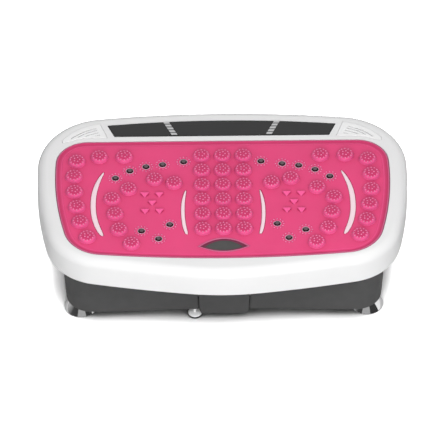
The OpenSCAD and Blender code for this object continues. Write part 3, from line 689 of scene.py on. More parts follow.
def plastic(name, colour, rough, grain_scale, grain, spread=0.025, wear=None, ior=1.46):
    finish = Finish(name)
    tone = finish.mottled(colour, spread, 14.0)
    if wear:
        tone = finish.worn(tone, wear)
    finish.set(IOR=ior, Base_Color=tone)
    finish.rough(rough * 0.85, rough * 1.15, 60.0)
    finish.bump(finish.noise(grain_scale, GRAIN_DETAIL), grain, 0.1)
    return finish.material


def metal(name, colour, rough, stretch=None):
    finish = Finish(name)
    bright = tuple(min(1.0, c * 1.25) for c in colour)
    finish.set(Metallic=1.0, Base_Color=finish.worn(finish.mottled(colour, 0.05, 40.0), bright))
    finish.rough(rough * 0.75, rough * 1.25, 150.0)
    finish.bump(finish.noise(700.0, GRAIN_DETAIL, stretch), 0.1, 0.05)
    return finish.material


def polished(name, colour, mottle, rough, grain, stretch=None, **values):
    """Smooth finish: drift and scale of its colour, range and scale of its roughness, its grain."""
    finish = Finish(name)
    finish.set(Base_Color=finish.mottled(colour, *mottle), **values)
    finish.rough(*rough)
    grain_scale, depth = grain
    finish.bump(finish.noise(grain_scale, GRAIN_DETAIL, stretch), depth, 0.05)
    return finish.material


# Painted shade in the mat's hollows: how far what stands round a place shades it, the share open to the
# sky where the shade is full and where it ends, and the colour it darkens by
HOLLOW_REACH = 26.0
HOLLOW_OPEN = (0.60, 0.985)
HOLLOW_PAINTED_SHADOW = (0.64, 0.52, 0.58)
HOLLOW_SAMPLES = 8


def mat_rubber():
    """Pink rubber coloured by the mesh's painted light and shade, and darkened by painted shade in
    hollows.
    """
    finish = Finish("pink_mat_finish")
    tints = finish.add("Attribute")
    tints.attribute_name = "tint"
    drift = finish.mottled((0.97, 0.97, 0.97), 0.03, 22.0)
    tone = finish.blend(1.0, tints.outputs["Vector"], drift, "MULTIPLY")
    hollow = finish.add("AmbientOcclusion", Distance=HOLLOW_REACH * MM)
    hollow.samples = HOLLOW_SAMPLES
    open_share = finish.ranged(hollow.outputs["AO"], 0.0, 1.0, *HOLLOW_OPEN)
    # Painted shade: darker where the mat is shut in from the sky
    shade = finish.blend(open_share, HOLLOW_PAINTED_SHADOW, (1.0, 1.0, 1.0))
    finish.set(IOR=1.43, Base_Color=finish.blend(1.0, tone, shade, "MULTIPLY"))
    finish.rough(0.40, 0.55, 90.0)
    finish.bump(finish.noise(1800.0, GRAIN_DETAIL), 0.12, 0.08)
    return finish.material


def circuit_board():
    finish = Finish("circuit_board")
    traces = finish.noise(160.0, 1.0, stretch=(1.0, 4.0, 1.0))
    share = finish.ranged(traces, 0.0, 1.0, 0.48, 0.54)
    finish.set(IOR=1.5, Base_Color=finish.blend(share, (0.02, 0.13, 0.055), (0.05, 0.24, 0.11)))
    finish.rough(0.30, 0.45, 80.0)
    finish.bump(traces, 0.15, 0.1)
    return finish.material


def copper_coil():
    """Enamelled windings that run round the core."""
    finish = Finish("copper_coil")
    wave = finish.add("TexWave", Scale=220.0, Distortion=1.5, Vector=finish.place)
    wave.bands_direction = "Z"
    turns = wave.outputs["Fac"]
    finish.set(Metallic=0.8, Base_Color=finish.blend(turns, (0.38, 0.17, 0.06), (0.68, 0.34, 0.13)))
    finish.rough(0.25, 0.4, 120.0)
    finish.bump(turns, 0.4, 0.3)
    return finish.material


def make_finishes():
    """One material for each of the record's slots, and for trim that differs from its slot."""
    return {
        "white_casing": plastic(
            "white_casing_finish", (0.87, 0.87, 0.872), 0.42, 420.0, 0.012, spread=0.01, ior=1.40,
        ),
        "pink_mat": mat_rubber(),
        "dark_base": plastic(
            "dark_base_finish", (0.078, 0.078, 0.0785), 0.62, 1500.0, 0.3, spread=0.05, ior=1.32,
        ),
        "chrome": polished(
            "chrome", (0.76, 0.76, 0.765), (0.03, 60.0), (0.05, 0.10, 120.0),
            (260.0, 0.03), Metallic=1.0,
        ),
        "black_rubber": plastic(
            "black_rubber", (0.018, 0.018, 0.019), 0.62, 1600.0, 0.3,
            spread=0.12, wear=(0.05, 0.05, 0.05),
        ),
        "light_foot": plastic("light_foot", (0.92, 0.92, 0.922), 0.40, 1200.0, 0.06, spread=0.02),
        "steel": metal("steel", (0.56, 0.56, 0.57), 0.30, stretch=(1.0, 12.0, 1.0)),
        "painted_steel": plastic(
            "painted_steel", (0.10, 0.105, 0.11), 0.42, 700.0, 0.2, wear=(0.3, 0.3, 0.3),
        ),
        "bearing_bronze": metal("bearing_bronze", (0.60, 0.38, 0.16), 0.36),
        "gloss_panel": polished(
            "gloss_panel", (0.012, 0.012, 0.0125), (0.12, 30.0), (0.07, 0.14, 35.0),
            (500.0, 0.02), IOR=1.43,
        ),
        "silver_trim": polished(
            "silver_trim", (0.58, 0.58, 0.585), (0.05, 60.0), (0.28, 0.42, 150.0), (900.0, 0.1),
            stretch=(0.1, 3.0, 1.0), Metallic=0.55,
        ),
        "magnet_steel": metal("magnet_steel", (0.13, 0.11, 0.12), 0.26),
        "circuit_board": circuit_board(),
        "copper_coil": copper_coil(),
        "switch_red": plastic(
            "switch_red", (0.45, 0.03, 0.03), 0.22, 900.0, 0.04, wear=(0.6, 0.1, 0.1),
        ),
        "window": polished(
            "window_glass", (0.052, 0.050, 0.049), (0.08, 60.0), (0.10, 0.18, 60.0),
            (900.0, 0.03), IOR=1.48,
        ),
        "eyelet": plastic("eyelet", (0.62, 0.33, 0.44), 0.30, 1200.0, 0.05),
        # Pink tint of the lands is painted bounce light from the mat
        "land": plastic("land", (0.98, 0.77, 0.84), 0.40, 900.0, 0.03, spread=0.02),
        "grille_white": plastic("grille_white", (0.95, 0.95, 0.952), 0.32, 900.0, 0.05, spread=0.01),
        # Grey plate under the grille's slots, painted as the shade at their bottom
        "grille_painted_shade_plate": plastic("grille_painted_shade_plate", (0.40, 0.40, 0.405), 0.5, 1200.0, 0.2),
    }


def panel_loop(grow):
    back = (PANEL_BACK[0] + grow, PANEL_BACK[1] + grow)
    front = (PANEL_FRONT[0] + grow, PANEL_FRONT[1] - grow)
    return bow(flip(back), back, PANEL_BACK_BOW, LONG_STEPS) + [back, front, flip(front)]


def grille_loop():
    start = heading(GRILLE_CENTRE, GRILLE_IN_BACK)
    end = heading(GRILLE_CENTRE, GRILLE_TIP)
    edge = arc(GRILLE_CENTRE, GRILLE_R, start, end, CORNER_STEPS)
    return edge + [GRILLE_TIP] + GRILLE_FRONT + [GRILLE_IN_FRONT]


def groove_loops():
    """Curved slots of the right grille, each ended where its area ends."""
    centre = GRILLE_CENTRE
    loops = []
    for inset in GROOVE_INSETS:
        radius = GRILLE_R - inset
        within = []
        for i in range(GROOVE_PROBES + 1):
            a = math.radians(90.0 * i / GROOVE_PROBES)
            place = (centre[0] + radius * math.cos(a), centre[1] + radius * math.sin(a))
            if inside(place, GROOVE_AREA):
                within.append(a)
        half = GROOVE_W / 2
        low = within[0]
        high = within[-1]
        loops.append(
            arc(centre, radius + half, low, high, CORNER_STEPS)
            + arc(centre, radius - half, high, low, CORNER_STEPS)
        )
    return loops


def crescent_edges(shape, grow):
    """Outer and inner edge of a crescent grown all round, from its tip to its blunt front end."""
    back, front, swell, half_w = shape
    half_x = (front[0] - back[0]) / 2
    half_y = (front[1] - back[1]) / 2
    reach = 1 + grow / math.hypot(half_x, half_y)
    outer = []
    inner = []
    for i in range(LONG_STEPS + 1):
        t = -math.cos(math.pi * i / LONG_STEPS)
        x = (back[0] + front[0]) / 2 + half_x * reach * t + swell * (1 - abs(t) ** 2.2)
        y = (back[1] + front[1]) / 2 + half_y * reach * t
        share = (1 - t * t) ** 0.4 if t < 0 else (1 - t ** 8) ** 0.35
        w = half_w * share + grow
        outer.append((x + w, y))
        inner.append((x - w, y))
    return outer, inner


def crescent_loop(shape, grow):
    outer, inner = crescent_edges(shape, grow)
    return outer + inner[::-1]


def window_loop(grow, tip):
    """Lens outline grown by one distance across its bows and another along its tips."""
    left = (-WINDOW_HALF_W - tip, WINDOW_TIP_Y)
    right = (WINDOW_HALF_W + tip, WINDOW_TIP_Y)
    return (
        bow(left, right, WINDOW_BACK_BOW + grow, LONG_STEPS)
        + bow(right, left, WINDOW_FRONT_BOW + grow, LONG_STEPS)
    )


def casing_rings():
    """Loops of the casing from its recess floor over the rim and down the skirt to its inside."""
    inner_z = RIM_Z - CASING_WALL - INNER_EDGE_R
    turns = [math.radians(90.0 * i / EDGE_STEPS) for i in range(EDGE_STEPS + 1)]
    rows = [(mat_edge, -gap, RIM_Z - drop) for gap, drop in RECESS_EDGE]
    for a in reversed(turns):
        rows.append((deck, EDGE_R * (1 - math.cos(a)), RIM_Z - EDGE_R * (1 - math.sin(a))))
    rows += [(deck, inset, SKIRT_Z + rise) for inset, rise in SKIRT_EDGE]
    for a in turns:
        inset = CASING_WALL + INNER_EDGE_R * (1 - math.cos(a))
        rows.append((deck, inset, inner_z + INNER_EDGE_R * math.sin(a)))
    rows += [(mat_edge, -CASING_WALL, RIM_Z - CASING_WALL), (mat_edge, -CASING_WALL, TUB_Z)]
    return [at_z(ring(arcs, inset), z) for arcs, inset, z in rows]


def make_casing():
    obj = new_object("deck_casing", Shape().loft(casing_rings()))
    pockets = [(panel_loop(PANEL_GAP), PANEL_Z - PANEL_GAP_BELOW)]
    for loop in (grille_loop(), mirrored(grille_loop())):
        pockets.append((drawn_in(turned(loop, True), -GRILLE_GAP), GRILLE_Z))
    for loop, z in pockets:
        carve(obj, Shape().loft([at_z(loop, RIM_Z + CUT_RISE), at_z(loop, z)]))
    dress(obj, "deck", "white_casing", ["top_casing"])


LAND_GROW = 0.06
# Section of a land: share of its width and height
LAND_PROFILE = [
    (0.0, RECESS_Z), (0.0, MAT_TOP - 0.5), (0.12, MAT_TOP - 0.1), (0.3, MAT_TOP + 0.1),
    (0.7, MAT_TOP + 0.1), (0.88, MAT_TOP - 0.1), (1.0, MAT_TOP - 0.5), (1.0, RECESS_Z),
]


def make_lands():
    """Pale lands that stand in the mat's crescent openings, tinted pink with painted bounce light."""
    shape = Shape()
    for crescent in (OUTER_CRESCENT, INNER_CRESCENT):
        rings = []
        for (x1, y), (x0, y_same) in zip(*crescent_edges(crescent, LAND_GROW)):
            rings.append([(x0 + (x1 - x0) * share, y, z) for share, z in LAND_PROFILE])
        shape.loft(rings)
        shape.loft([[(-x, y, z) for x, y, z in reversed(r)] for r in rings])
    piece("crescent_lands", shape, "deck", "white_casing", ["top_casing"], "land", SHARP_ANGLE_LANDS)


# Half profile of a nub: radius, height above the mat, tone; the tones paint light on its flanks and shade
# on its top
NUB_PROFILE = [
    (13.4, -0.05, FIELD), (12.9, 0.12, PAINTED_LIT_FACE - 0.2), (12.55, 0.7, PAINTED_LIT_FACE + 0.1),
    (12.2, 1.6, PAINTED_LIT_FACE + 0.1), (11.7, 2.6, PAINTED_LIT_FACE + 0.1), (11.0, 3.5, PAINTED_LIT_FACE), (10.1, 4.15, PAINTED_LIT_FACE - 0.3),
    (9.0, 4.5, FIELD - 0.6), (7.5, 4.8, PAINTED_SOFT_SHADOW), (5.0, 5.1, PAINTED_SOFT_SHADOW), (2.5, 5.3, PAINTED_SOFT_SHADOW), (0.0, 5.4, PAINTED_SOFT_SHADOW),
]
NUB_STEPS = 40
NUB_FORWARD = 0.5
# Teeth on a nub's shoulder, painted as highlights like the pimples; sizes of teeth and pimples are half
# length, half width and height
NUB_TEETH = 12
NUB_TEETH_R = 9.5
NUB_TEETH_Z = 4.1
NUB_TEETH_SLOPE = 24.0
NUB_TEETH_SIZE = (1.6, 1.2, 1.05)
NUB_PIMPLES = 5
NUB_PIMPLE_R = 4.05
NUB_PIMPLE_Z = 5.1
PIMPLE_SIZE = (1.3, 1.3, 1.0)
MAGNET_DOTS = 12
MAGNET_DOTS_R = 9.4
# Triangles: draw-in and drop of their rounded edge, depth of their foot, least edge and top heights
TRIANGLE_EDGE = (0.5, 0.35)
TRIANGLE_FOOT = 0.3
TRIANGLE_LEAST = (0.02, 0.1)


def add_nub(shape, x, y):
    y -= NUB_FORWARD
    profile = [(r, MAT_TOP + z) for r, z, tone in NUB_PROFILE]
    # Tones paint light on the nub's flanks and shade on its top
    shape.lathe(profile, (x, y), NUB_STEPS, [tone for r, z, tone in NUB_PROFILE])
    slope = math.radians(NUB_TEETH_SLOPE)
    for i in range(NUB_TEETH):
        a = 2 * math.pi * i / NUB_TEETH
        out = Vector((math.cos(a), math.sin(a), 0.0))
        side = Vector((-math.sin(a), math.cos(a), 0.0))
        along = out * math.cos(slope) - Vector((0.0, 0.0, math.sin(slope)))
        up = out * math.sin(slope) + Vector((0.0, 0.0, math.cos(slope)))
        centre = Vector((x, y, MAT_TOP + NUB_TEETH_Z)) + out * NUB_TEETH_R
        shape.dome(centre, along, side, up, NUB_TEETH_SIZE, PAINTED_GLINT)
    add_pimples(shape, circle(x, y, NUB_PIMPLE_R, NUB_PIMPLES), MAT_TOP + NUB_PIMPLE_Z)


# Pimples take the tone of a painted highlight
def add_pimples(shape, places, z):
    axes = Vector((1, 0, 0)), Vector((0, 1, 0)), Vector((0, 0, 1))
    for x, y in places:
        shape.dome(Vector((x, y, z)), *axes, PIMPLE_SIZE, PAINTED_GLINT)


def paired(places):
    """Each place, followed by its mirror image."""
    return [p for place in places for p in (place, flip(place))]


def nub_places():
    columns = (-NUB_PITCH, 0.0, NUB_PITCH)
    rows = [GRID_BACK_Y - row * NUB_PITCH for row in range(GRID_ROWS)]
    return paired(NUBS) + [(x, y) for y in rows for x in columns]


def triangle_places():
    x, y = TRIANGLE_AT
    dx, dy = TRIANGLE_STEP
    steps = ((0, 0), (-1, -1), (-1, 1), (1, -1), (1, 1))
    return paired([(x + i * dx, y + j * dy) for i, j in steps])


def add_triangle(shape, x, y):
    """Wedge that rises from its point at the front to its straight edge at the back, in the tone of
    painted light.
    """
    front = y - TRIANGLE_HALF_L
    back = y + TRIANGLE_HALF_L
    low = turned([(x - TRIANGLE_HALF_W, back), (x + TRIANGLE_HALF_W, back), (x, front)], True)
    draw_in, drop = TRIANGLE_EDGE
    soft = drawn_in(low, draw_in)
    rises = [TRIANGLE_H * (py - front) / (back - front) for px, py in low]
    edge_least, top_least = TRIANGLE_LEAST
    rings = [
        at_z(low, MAT_TOP - TRIANGLE_FOOT),
        [(*p, MAT_TOP + max(edge_least, rise - drop)) for p, rise in zip(low, rises)],
        [(*p, MAT_TOP + max(top_least, rise)) for p, rise in zip(soft, rises)],
    ]
    shape.loft(rings, tones=[PAINTED_LIT_FACE] * len(rings))


MAT_FIELD_INSET = 9.6
MAT_BEVEL = 0.35
WINDOW_GAP = 1.0
WINDOW_BEVEL = 0.3
# Raised lip round the mat and the shallow channel inside it: inset from its edge, height and tone. Its
# outer wall is painted shadow for the gap round the mat, the channel is painted shade, and the thin line
# inside it is a painted highlight
MAT_LIP = [
    (0.0, RECESS_Z, PAINTED_EDGE_SHADOW), (0.0, 128.3, PAINTED_EDGE_SHADOW), (0.3, 129.1, DUSTY), (1.0, 129.7, DUSTY),
    (2.0, 129.8, DUSTY), (2.8, 129.5, PAINTED_SOFT_SHADOW), (3.6, 128.9, PAINTED_SOFT_SHADOW), (4.8, 128.6, PAINTED_SOFT_SHADOW),
    (6.2, 128.6, PAINTED_SOFT_SHADOW + 0.3), (7.4, 128.85, FIELD - 0.3),
    (8.2, 129.1, FIELD + 0.3), (8.8, 129.15, FIELD + 0.3), (MAT_FIELD_INSET, MAT_TOP, FIELD),
    (MAT_FIELD_INSET, RECESS_Z, FIELD),
]
# Rim round the sensor window, whose inner slope lies over the glass and is painted shadow: distance
# outside the window's bows and outside its tips, height and tone
WINDOW_RIM = [
    (-2.2, -6.5, WINDOW_TOP - 0.3, PAINTED_EDGE_SHADOW), (-2.2, -6.5, WINDOW_TOP + 0.1, PAINTED_EDGE_SHADOW),
    (-0.8, -2.4, WINDOW_TOP + 0.4, PAINTED_EDGE_SHADOW), (0.1, 0.1, 128.9, PAINTED_EDGE_SHADOW), (0.3, 0.4, 129.3, DUSTY),
    (0.8, 1.2, 129.75, DUSTY), (1.7, 2.5, 129.9, DUSTY), (2.4, 3.5, 129.7, DUSTY),
    (2.8, 4.1, 129.3, DUSTY),
    (3.2, 4.7, MAT_TOP - 0.1, FIELD), (3.2, 4.7, WINDOW_TOP - 0.3, FIELD),
]
# Painted shadow at the bottom of the gap round each land, a strip of the mat's rubber: distance outside
# the land and height
LAND_SEAT = [
    (1.0, MAT_TOP - 0.3), (0.8, MAT_TOP - 0.4), (0.5, MAT_TOP - 0.9), (0.12, MAT_TOP - 0.9),
    (0.12, MAT_TOP - 1.4), (1.0, MAT_TOP - 1.4),
]
# Cup round each magnet, painted as the shadow in the gap round the stud: radius and height
MAGNET_CUP = [
    (5.5, MAT_TOP - 0.3), (5.15, MAT_TOP - 0.4), (5.1, MAT_TOP - 2.4), (3.62, MAT_TOP - 2.4),
    (3.62, MAGNET_TOP - 0.8), (3.1, MAGNET_TOP - 0.15), (3.0, MAGNET_TOP - 0.3),
    (3.0, RECESS_Z), (5.5, RECESS_Z),
]
# Stud of a magnet and the eyelet round it: radius and height
STUD_PROFILE = [
    (0.0, RECESS_Z), (MAGNET_R, RECESS_Z), (MAGNET_R, MAGNET_TOP - 0.9),
    (MAGNET_R - 0.5, MAGNET_TOP - 0.2), (MAGNET_R - 0.9, MAGNET_TOP), (0.0, MAGNET_TOP + 0.05),
]
EYELET_PROFILE = [
    (4.9, MAT_TOP - 0.35), (4.95, MAT_TOP + 0.15), (5.15, MAT_TOP + 0.45), (5.55, MAT_TOP + 0.55),
    (5.95, MAT_TOP + 0.35), (6.15, MAT_TOP - 0.1), (5.6, MAT_TOP - 0.35),
]
STUD_STEPS = 32
MAGNET_STEPS = 36
MAGNET_HOLE_STEPS = 28


def make_mat():
    shape = Shape()
    lip = [at_z(ring(mat_edge, inset), z) for inset, z, tone in MAT_LIP]
    shape.loft(lip, closed=True, tones=[tone for inset, z, tone in MAT_LIP])
    holes = [circle(x, y, MAGNET_HOLE_R, MAGNET_HOLE_STEPS) for x, y in paired(MAGNETS)]
    for crescent in (OUTER_CRESCENT, INNER_CRESCENT):
        loop = crescent_loop(crescent, LAND_GAP)
        holes += [loop, mirrored(loop)]
        # Seat of painted soft shadow at the bottom of each land's gap
        seat = [at_z(crescent_loop(crescent, grow), z) for grow, z in LAND_SEAT]
        for rings in (seat, [[(-x, y, z) for x, y, z in r] for r in seat]):
            shape.loft(rings, closed=True, tones=[PAINTED_SOFT_SHADOW] * len(rings))
    holes.append(window_loop(WINDOW_GAP, WINDOW_GAP))
    shape.plate(ring(mat_edge, MAT_FIELD_INSET), holes, RECESS_Z, MAT_TOP, MAT_BEVEL)
    rim = [at_z(window_loop(grow, tip), z) for grow, tip, z, tone in WINDOW_RIM]
    shape.loft(rim, closed=True, tones=[tone for grow, tip, z, tone in WINDOW_RIM])
    for x, y in nub_places():
        add_nub(shape, x, y)
    for x, y in triangle_places():
        add_triangle(shape, x, y)
    for x, y in paired(MAGNETS):
        # Cup painted as the shadow in the gap round each magnet
        shape.lathe(MAGNET_CUP, (x, y), MAGNET_STEPS, [PAINTED_GAP_SHADOW] * len(MAGNET_CUP), closed=True)
        add_pimples(shape, circle(x, y, MAGNET_DOTS_R, MAGNET_DOTS), MAT_TOP)
    piece("massage_mat_dressed", shape, "deck", "pink_mat", ["massage_mat"], sharp=SHARP_ANGLE_MAT)


def make_magnets():
    studs = Shape()
    eyelets = Shape()
    for place in paired(MAGNETS):
        studs.lathe(STUD_PROFILE, place, STUD_STEPS)
        eyelets.lathe(EYELET_PROFILE, place, MAGNET_STEPS, closed=True)
    piece("magnet_studs", studs, "deck", "magnet_steel", ["magnets"])
    piece("magnet_eyelets", eyelets, "deck", "magnet_steel", finish="eyelet")


def make_window():
    shape = Shape().plate(window_loop(0.0, 0.0), [], RECESS_Z, WINDOW_TOP, WINDOW_BEVEL)
    piece("sensor_lens", shape, "deck", "gloss_panel", ["sensor_window"], "window")


def make_panel():
    shape = Shape()
    shape.plate(panel_loop(0.0), [], PANEL_Z - 0.5, PANEL_TOP - 0.4, 0.3)
    shape.plate(panel_loop(-1.1), [], PANEL_Z, PANEL_TOP, 0.4)
    piece("panel_face", shape, "deck", "gloss_panel", ["control_panel"])


def make_divider(name, sign, node):
    """Slanted strip of bright rungs with dark gaps between them."""
    back_x, back_y = DIVIDER_BACK
    front_x, front_y = DIVIDER_FRONT
    pitch = (back_y - front_y) / (DIVIDER_RUNGS - 1 + RUNG_SHARE)
    slope = (back_x - front_x) / (back_y - front_y)
    half = DIVIDER_W / 2

    def slanted(y0, y1):
        x0 = front_x + slope * (y0 - front_y)
        x1 = front_x + slope * (y1 - front_y)
        loop = [(x0 - half, y0), (x0 + half, y0), (x1 + half, y1), (x1 - half, y1)]
        return [(sign * x, y) for x, y in loop]

    strip = Shape().prism(slanted(front_y, back_y), PANEL_TOP - 0.3, PANEL_TOP + 0.25, 0.1)
    rungs = Shape()
    for i in range(DIVIDER_RUNGS):
        y0 = front_y + pitch * i
        rungs.prism(slanted(y0, y0 + pitch * RUNG_SHARE), PANEL_TOP - 0.1, PANEL_TOP + 0.8, 0.3)
    piece(name + "_strip", strip, "deck", "silver_trim", finish="painted_steel")
    piece(name + "_rungs", rungs, "deck", "silver_trim", [node])


def make_grille(name, node, turn):
    """White insert with curved slots over a grey plate painted as the shade at their bottom."""
    edge = turn(grille_loop())
    slots = [turn(loop) for loop in groove_loops()]
    face = Shape().plate(edge, slots, GROOVE_FLOOR, GRILLE_TOP, 0.35)
    painted_shade_plate = Shape().plate(edge, [], GRILLE_Z, GROOVE_FLOOR + 0.01, 0.05, steps=1)
    piece(name, face, "deck", "white_casing", [node], "grille_white")
    piece(name + "_painted_shade_plate", painted_shade_plate, "deck", "white_casing", finish="grille_painted_shade_plate")


def lip_stations():
    """Places along the base's front and back where its lower edge bends."""
    span = LIP_REACH[1] - LIP_REACH[0]
    side = [LIP_REACH[0] + span * i / LIP_STEPS for i in range(LIP_STEPS + 1)]
    return [-x for x in reversed(side)] + side


def base_ring(z, inset):
    half_w = BASE_HALF_W - BASE_LEAN * (BASE_TOP - z) / (BASE_TOP - BASE_Z)
    return box_ring(half_w - inset, BASE_HALF_D - inset, BASE_CORNER - inset, lip_stations())


def base_level(z, inset):
    return at_z(base_ring(z, inset), z)


def lip_level(rise, inset):
    """Loop along the base's lower edge, which is arched up in the middle."""
    loop = []
    for x, y in base_ring(BASE_Z, inset):
        t = min(1.0, max(0.0, (abs(x) - LIP_REACH[0]) / (LIP_REACH[1] - LIP_REACH[0])))
        drop = LIP_DROP[0] + (LIP_DROP[1] - LIP_DROP[0]) * t * t * (3 - 2 * t)
        loop.append((x, y, BASE_Z - drop + rise))
    return loop


def cover_w(z):
    return COVER_HALF_W + COVER_FLARE * (z - COVER_Z) / (BASE_TOP - COVER_Z)


def cut_box(low, high):
    loop = rectangle(low, high)
    return Shape().loft([at_z(loop, high[2]), at_z(loop, low[2])])


def cut_notch(gap, depth):
    """Flared form of the cover, grown by a gap, that reaches into the base's front wall."""
    rings = []
    for z in NOTCH_Z:
        w = cover_w(z) + gap
        loop = rectangle((-w, -BASE_HALF_D - NOTCH_OUT), (w, -BASE_HALF_D + depth))
        rings.append(at_z(loop, z))
    return Shape().loft(rings)


def socket_box(x, half_w, half_h, start, end):
    """Opposite corners of a box round a socket's middle that runs through the rear wall."""
    return (
        (x - half_w, BASE_HALF_D + start, SOCKET_Z - half_h),
        (x + half_w, BASE_HALF_D + end, SOCKET_Z + half_h),
    )


def make_base():
    inner = [base_level(z, inset) for z, inset in BASE_RIM]
    lip = [lip_level(rise, inset) for rise, inset in LIP_PROFILE]
    obj = new_object("base_shell", Shape().loft(inner + lip + [base_level(BASE_Z, LIP_W)]))
    for gap, depth in NOTCHES:
        carve(obj, cut_notch(gap, depth))
    carve(obj, cut_box(*socket_box(INLET_X, *INLET_HOLE)))
    carve(obj, cut_box(*socket_box(SWITCH_X, *SWITCH_HOLE)))
    dress(obj, "base", "dark_base", ["base_tray"])


def make_cover():
    """Front cover with tapered lower corners, and the shallow keel behind it."""
    shape = Shape()
    top = cover_w(BASE_TOP)
    side = cover_w(COVER_Z + COVER_TAPER[1])
    low = side - COVER_TAPER[0]
    side_z = COVER_Z + COVER_TAPER[1]

    def upright(p):
        return (p[0], COVER_FRONT + p[2], p[1])

    face = [
        (-top, BASE_TOP), (-side, side_z), (-low, COVER_Z),
        (low, COVER_Z), (side, side_z), (top, BASE_TOP),
    ]
    shape.prism(face, 0.0, COVER_DEPTH, COVER_EDGE, 3, upright)
    keel = [(-side, BASE_Z), (-low, COVER_Z), (low, COVER_Z), (side, BASE_Z)]
    shape.prism(keel, KEEL_START, KEEL_BACK - COVER_FRONT, KEEL_EDGE, 3, upright)
    piece("front_cover_dressed", shape, "base", "dark_base", ["front_cover"])


# Turned parts of the feet: radius and height
BELL_PROFILE = [
    (4.2, 18.0), (11.0, 18.0), (11.6, 17.7), (12.1, 16.7), (13.3, 15.0), (14.8, 13.0), (16.8, 10.7),
    (18.9, 8.3), (20.9, 5.6), (22.5, 3.0), (23.4, 1.4), (23.7, 0.8), (23.5, 0.3), (22.8, 0.1),
    (22.2, 0.4),
    (20.3, 4.6), (14.5, 11.5), (10.5, 15.5), (4.2, 15.5),
]
CUP_PROFILE = [
    (0.0, 1.2), (15.0, 1.2), (17.0, 0.3), (18.0, 0.0), (21.0, 0.0), (21.6, 0.3), (21.7, 0.9),
    (21.2, 1.7),
    (19.4, 5.0), (14.0, 11.2), (10.0, 15.5), (0.0, 15.5),
]
DISC_PROFILE = [
    (0.0, 3.0), (9.3, 3.0), (9.75, 3.2), (9.9, 3.7), (9.85, 4.3), (9.4, 4.9), (8.2, 5.7), (6.4, 6.3),
    (4.4, 6.6), (0.0, 6.7),
]
PIN_PROFILE = [(0.0, 6.5), (2.5, 6.5), (2.5, 20.6), (2.3, 20.8), (0.0, 20.8)]
SOLE_PROFILE = [
    (0.0, 0.0), (8.9, 0.0), (9.6, 0.3), (9.9, 1.0), (9.9, 2.6), (9.5, 3.0), (0.0, 3.0),
]
BELL_STEPS = 72
CUP_STEPS = 56
DISC_STEPS = 48
PIN_STEPS = 32


def make_feet():
    for key, sx, sy in (("fl", -1, -1), ("fr", 1, -1), ("bl", -1, 1), ("br", 1, 1)):
        place = (sx * FOOT_AT[0], sy * FOOT_AT[1])
        bell = Shape().lathe(BELL_PROFILE, place, BELL_STEPS, closed=True)
        piece("bell_" + key, bell, "base", "chrome", ["foot_bell_" + key])
        cup = Shape().lathe(CUP_PROFILE, place, CUP_STEPS)
        piece("cup_" + key, cup, "base", "black_rubber", ["suction_cup_" + key])


def make_front_foot():
    """Pale button with a domed top on a pin, and its rubber sole."""
    disc = Shape().lathe(DISC_PROFILE, FRONT_FOOT_AT, DISC_STEPS)
    disc.lathe(PIN_PROFILE, FRONT_FOOT_AT, PIN_STEPS)
    piece("front_foot_disc", disc, "base", "light_foot", ["front_foot"])
    sole = Shape().lathe(SOLE_PROFILE, FRONT_FOOT_AT, DISC_STEPS)
    piece("front_foot_pad", sole, "base", "black_rubber", ["front_foot_sole"])


def make_socket(x, pieces, mouth, node):
    """Flange and well of a socket in the rear wall, with its mouth cut into both."""
    for name, (size, edge, steps) in pieces.items():
        obj = new_object(name, Shape().block(*socket_box(x, *size), edge, steps))
        carve(obj, cut_box(*socket_box(x, *mouth)))
        dress(obj, "base", "black_rubber", [node])


def make_rocker():
    tilt = math.radians(ROCKER_TILT)

    def tilted(p):
        y, z, x = p
        return (
            SWITCH_X - ROCKER_W / 2 + x,
            ROCKER_Y + y * math.cos(tilt) - z * math.sin(tilt),
            SOCKET_Z + y * math.sin(tilt) + z * math.cos(tilt),
        )

    shape = Shape().prism(ROCKER_PROFILE, 0.0, ROCKER_W, ROCKER_EDGE, 3, tilted)
    piece("rocker_button", shape, "rocker", "switch_red", ["switch_rocker"])


def dress_cad_nodes():
    """Gives each CAD node that still shows the procedural finish of its slot."""
    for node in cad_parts.values():
        if node.hide_render:
            continue
        named = node.data.materials[0].name.split(".")[0] if node.data.materials else ""
        finish = finishes.get(named, finishes["steel"])
        node.data.materials.clear()
        node.data.materials.append(finish)
        node.data.shade_smooth()
        node.data.set_sharp_from_angle(angle=math.radians(SHARP_ANGLE_CAD))


# Lamps: elevation in degrees, distance and sideways shift in metres, size in metres, power in watts
SOFTBOX = {"elevation": 62.0, "distance": 2.4, "shift": 0.35, "size": (1.0, 0.8), "power": 19.2}
FRONT_BOX = {"elevation": 24.0, "distance": 2.4, "shift": 0.02, "size": (1.4, 0.6), "power": 23.8}
AMBIENT = 0.465
LAMP_TARGET = (0.0, 0.0, 0.1)
# Floor: its half width and level in metres, and how pale it is to other surfaces and in mirrors
FLOOR_HALF = 6.0
FLOOR_Z = -0.0003
FLOOR_COLOUR = 0.60
FLOOR_IN_MIRRORS = 0.80
# Floor as the camera sees it: how far what stands near it shades it, and two steps of brightness from
# shut in to open, each a start, an end, and the share open to the sky where it starts and ends
FLOOR_REACH = 48.0
FLOOR_NEAR = (0.12, 1.9, 0.24, 0.74)
FLOOR_OPEN = (0.0, 2.7, 0.74, 0.94)
FLOOR_SAMPLES = 16
# Cards that only mirrors see: distance in metres, the angles from the front to the right where each
# starts and ends, and how bright it is there
CARDS = {
    "card_front": (1.7, -25.0, 25.0, 0.46, 0.46),
    "card_right": (5.0, 0.0, 73.0, 0.05, 0.05),
    "card_left": (5.0, -60.0, 0.0, 0.07, 0.05),
    "card_left_fade": (5.0, -100.0, -60.0, 0.47, 0.07),
    "card_left_side": (5.0, -150.0, -100.0, 0.47, 0.47),
}
# Lower and upper edge of a card, as shares of its distance
CARD_HEIGHT = (0.01, 1.2)


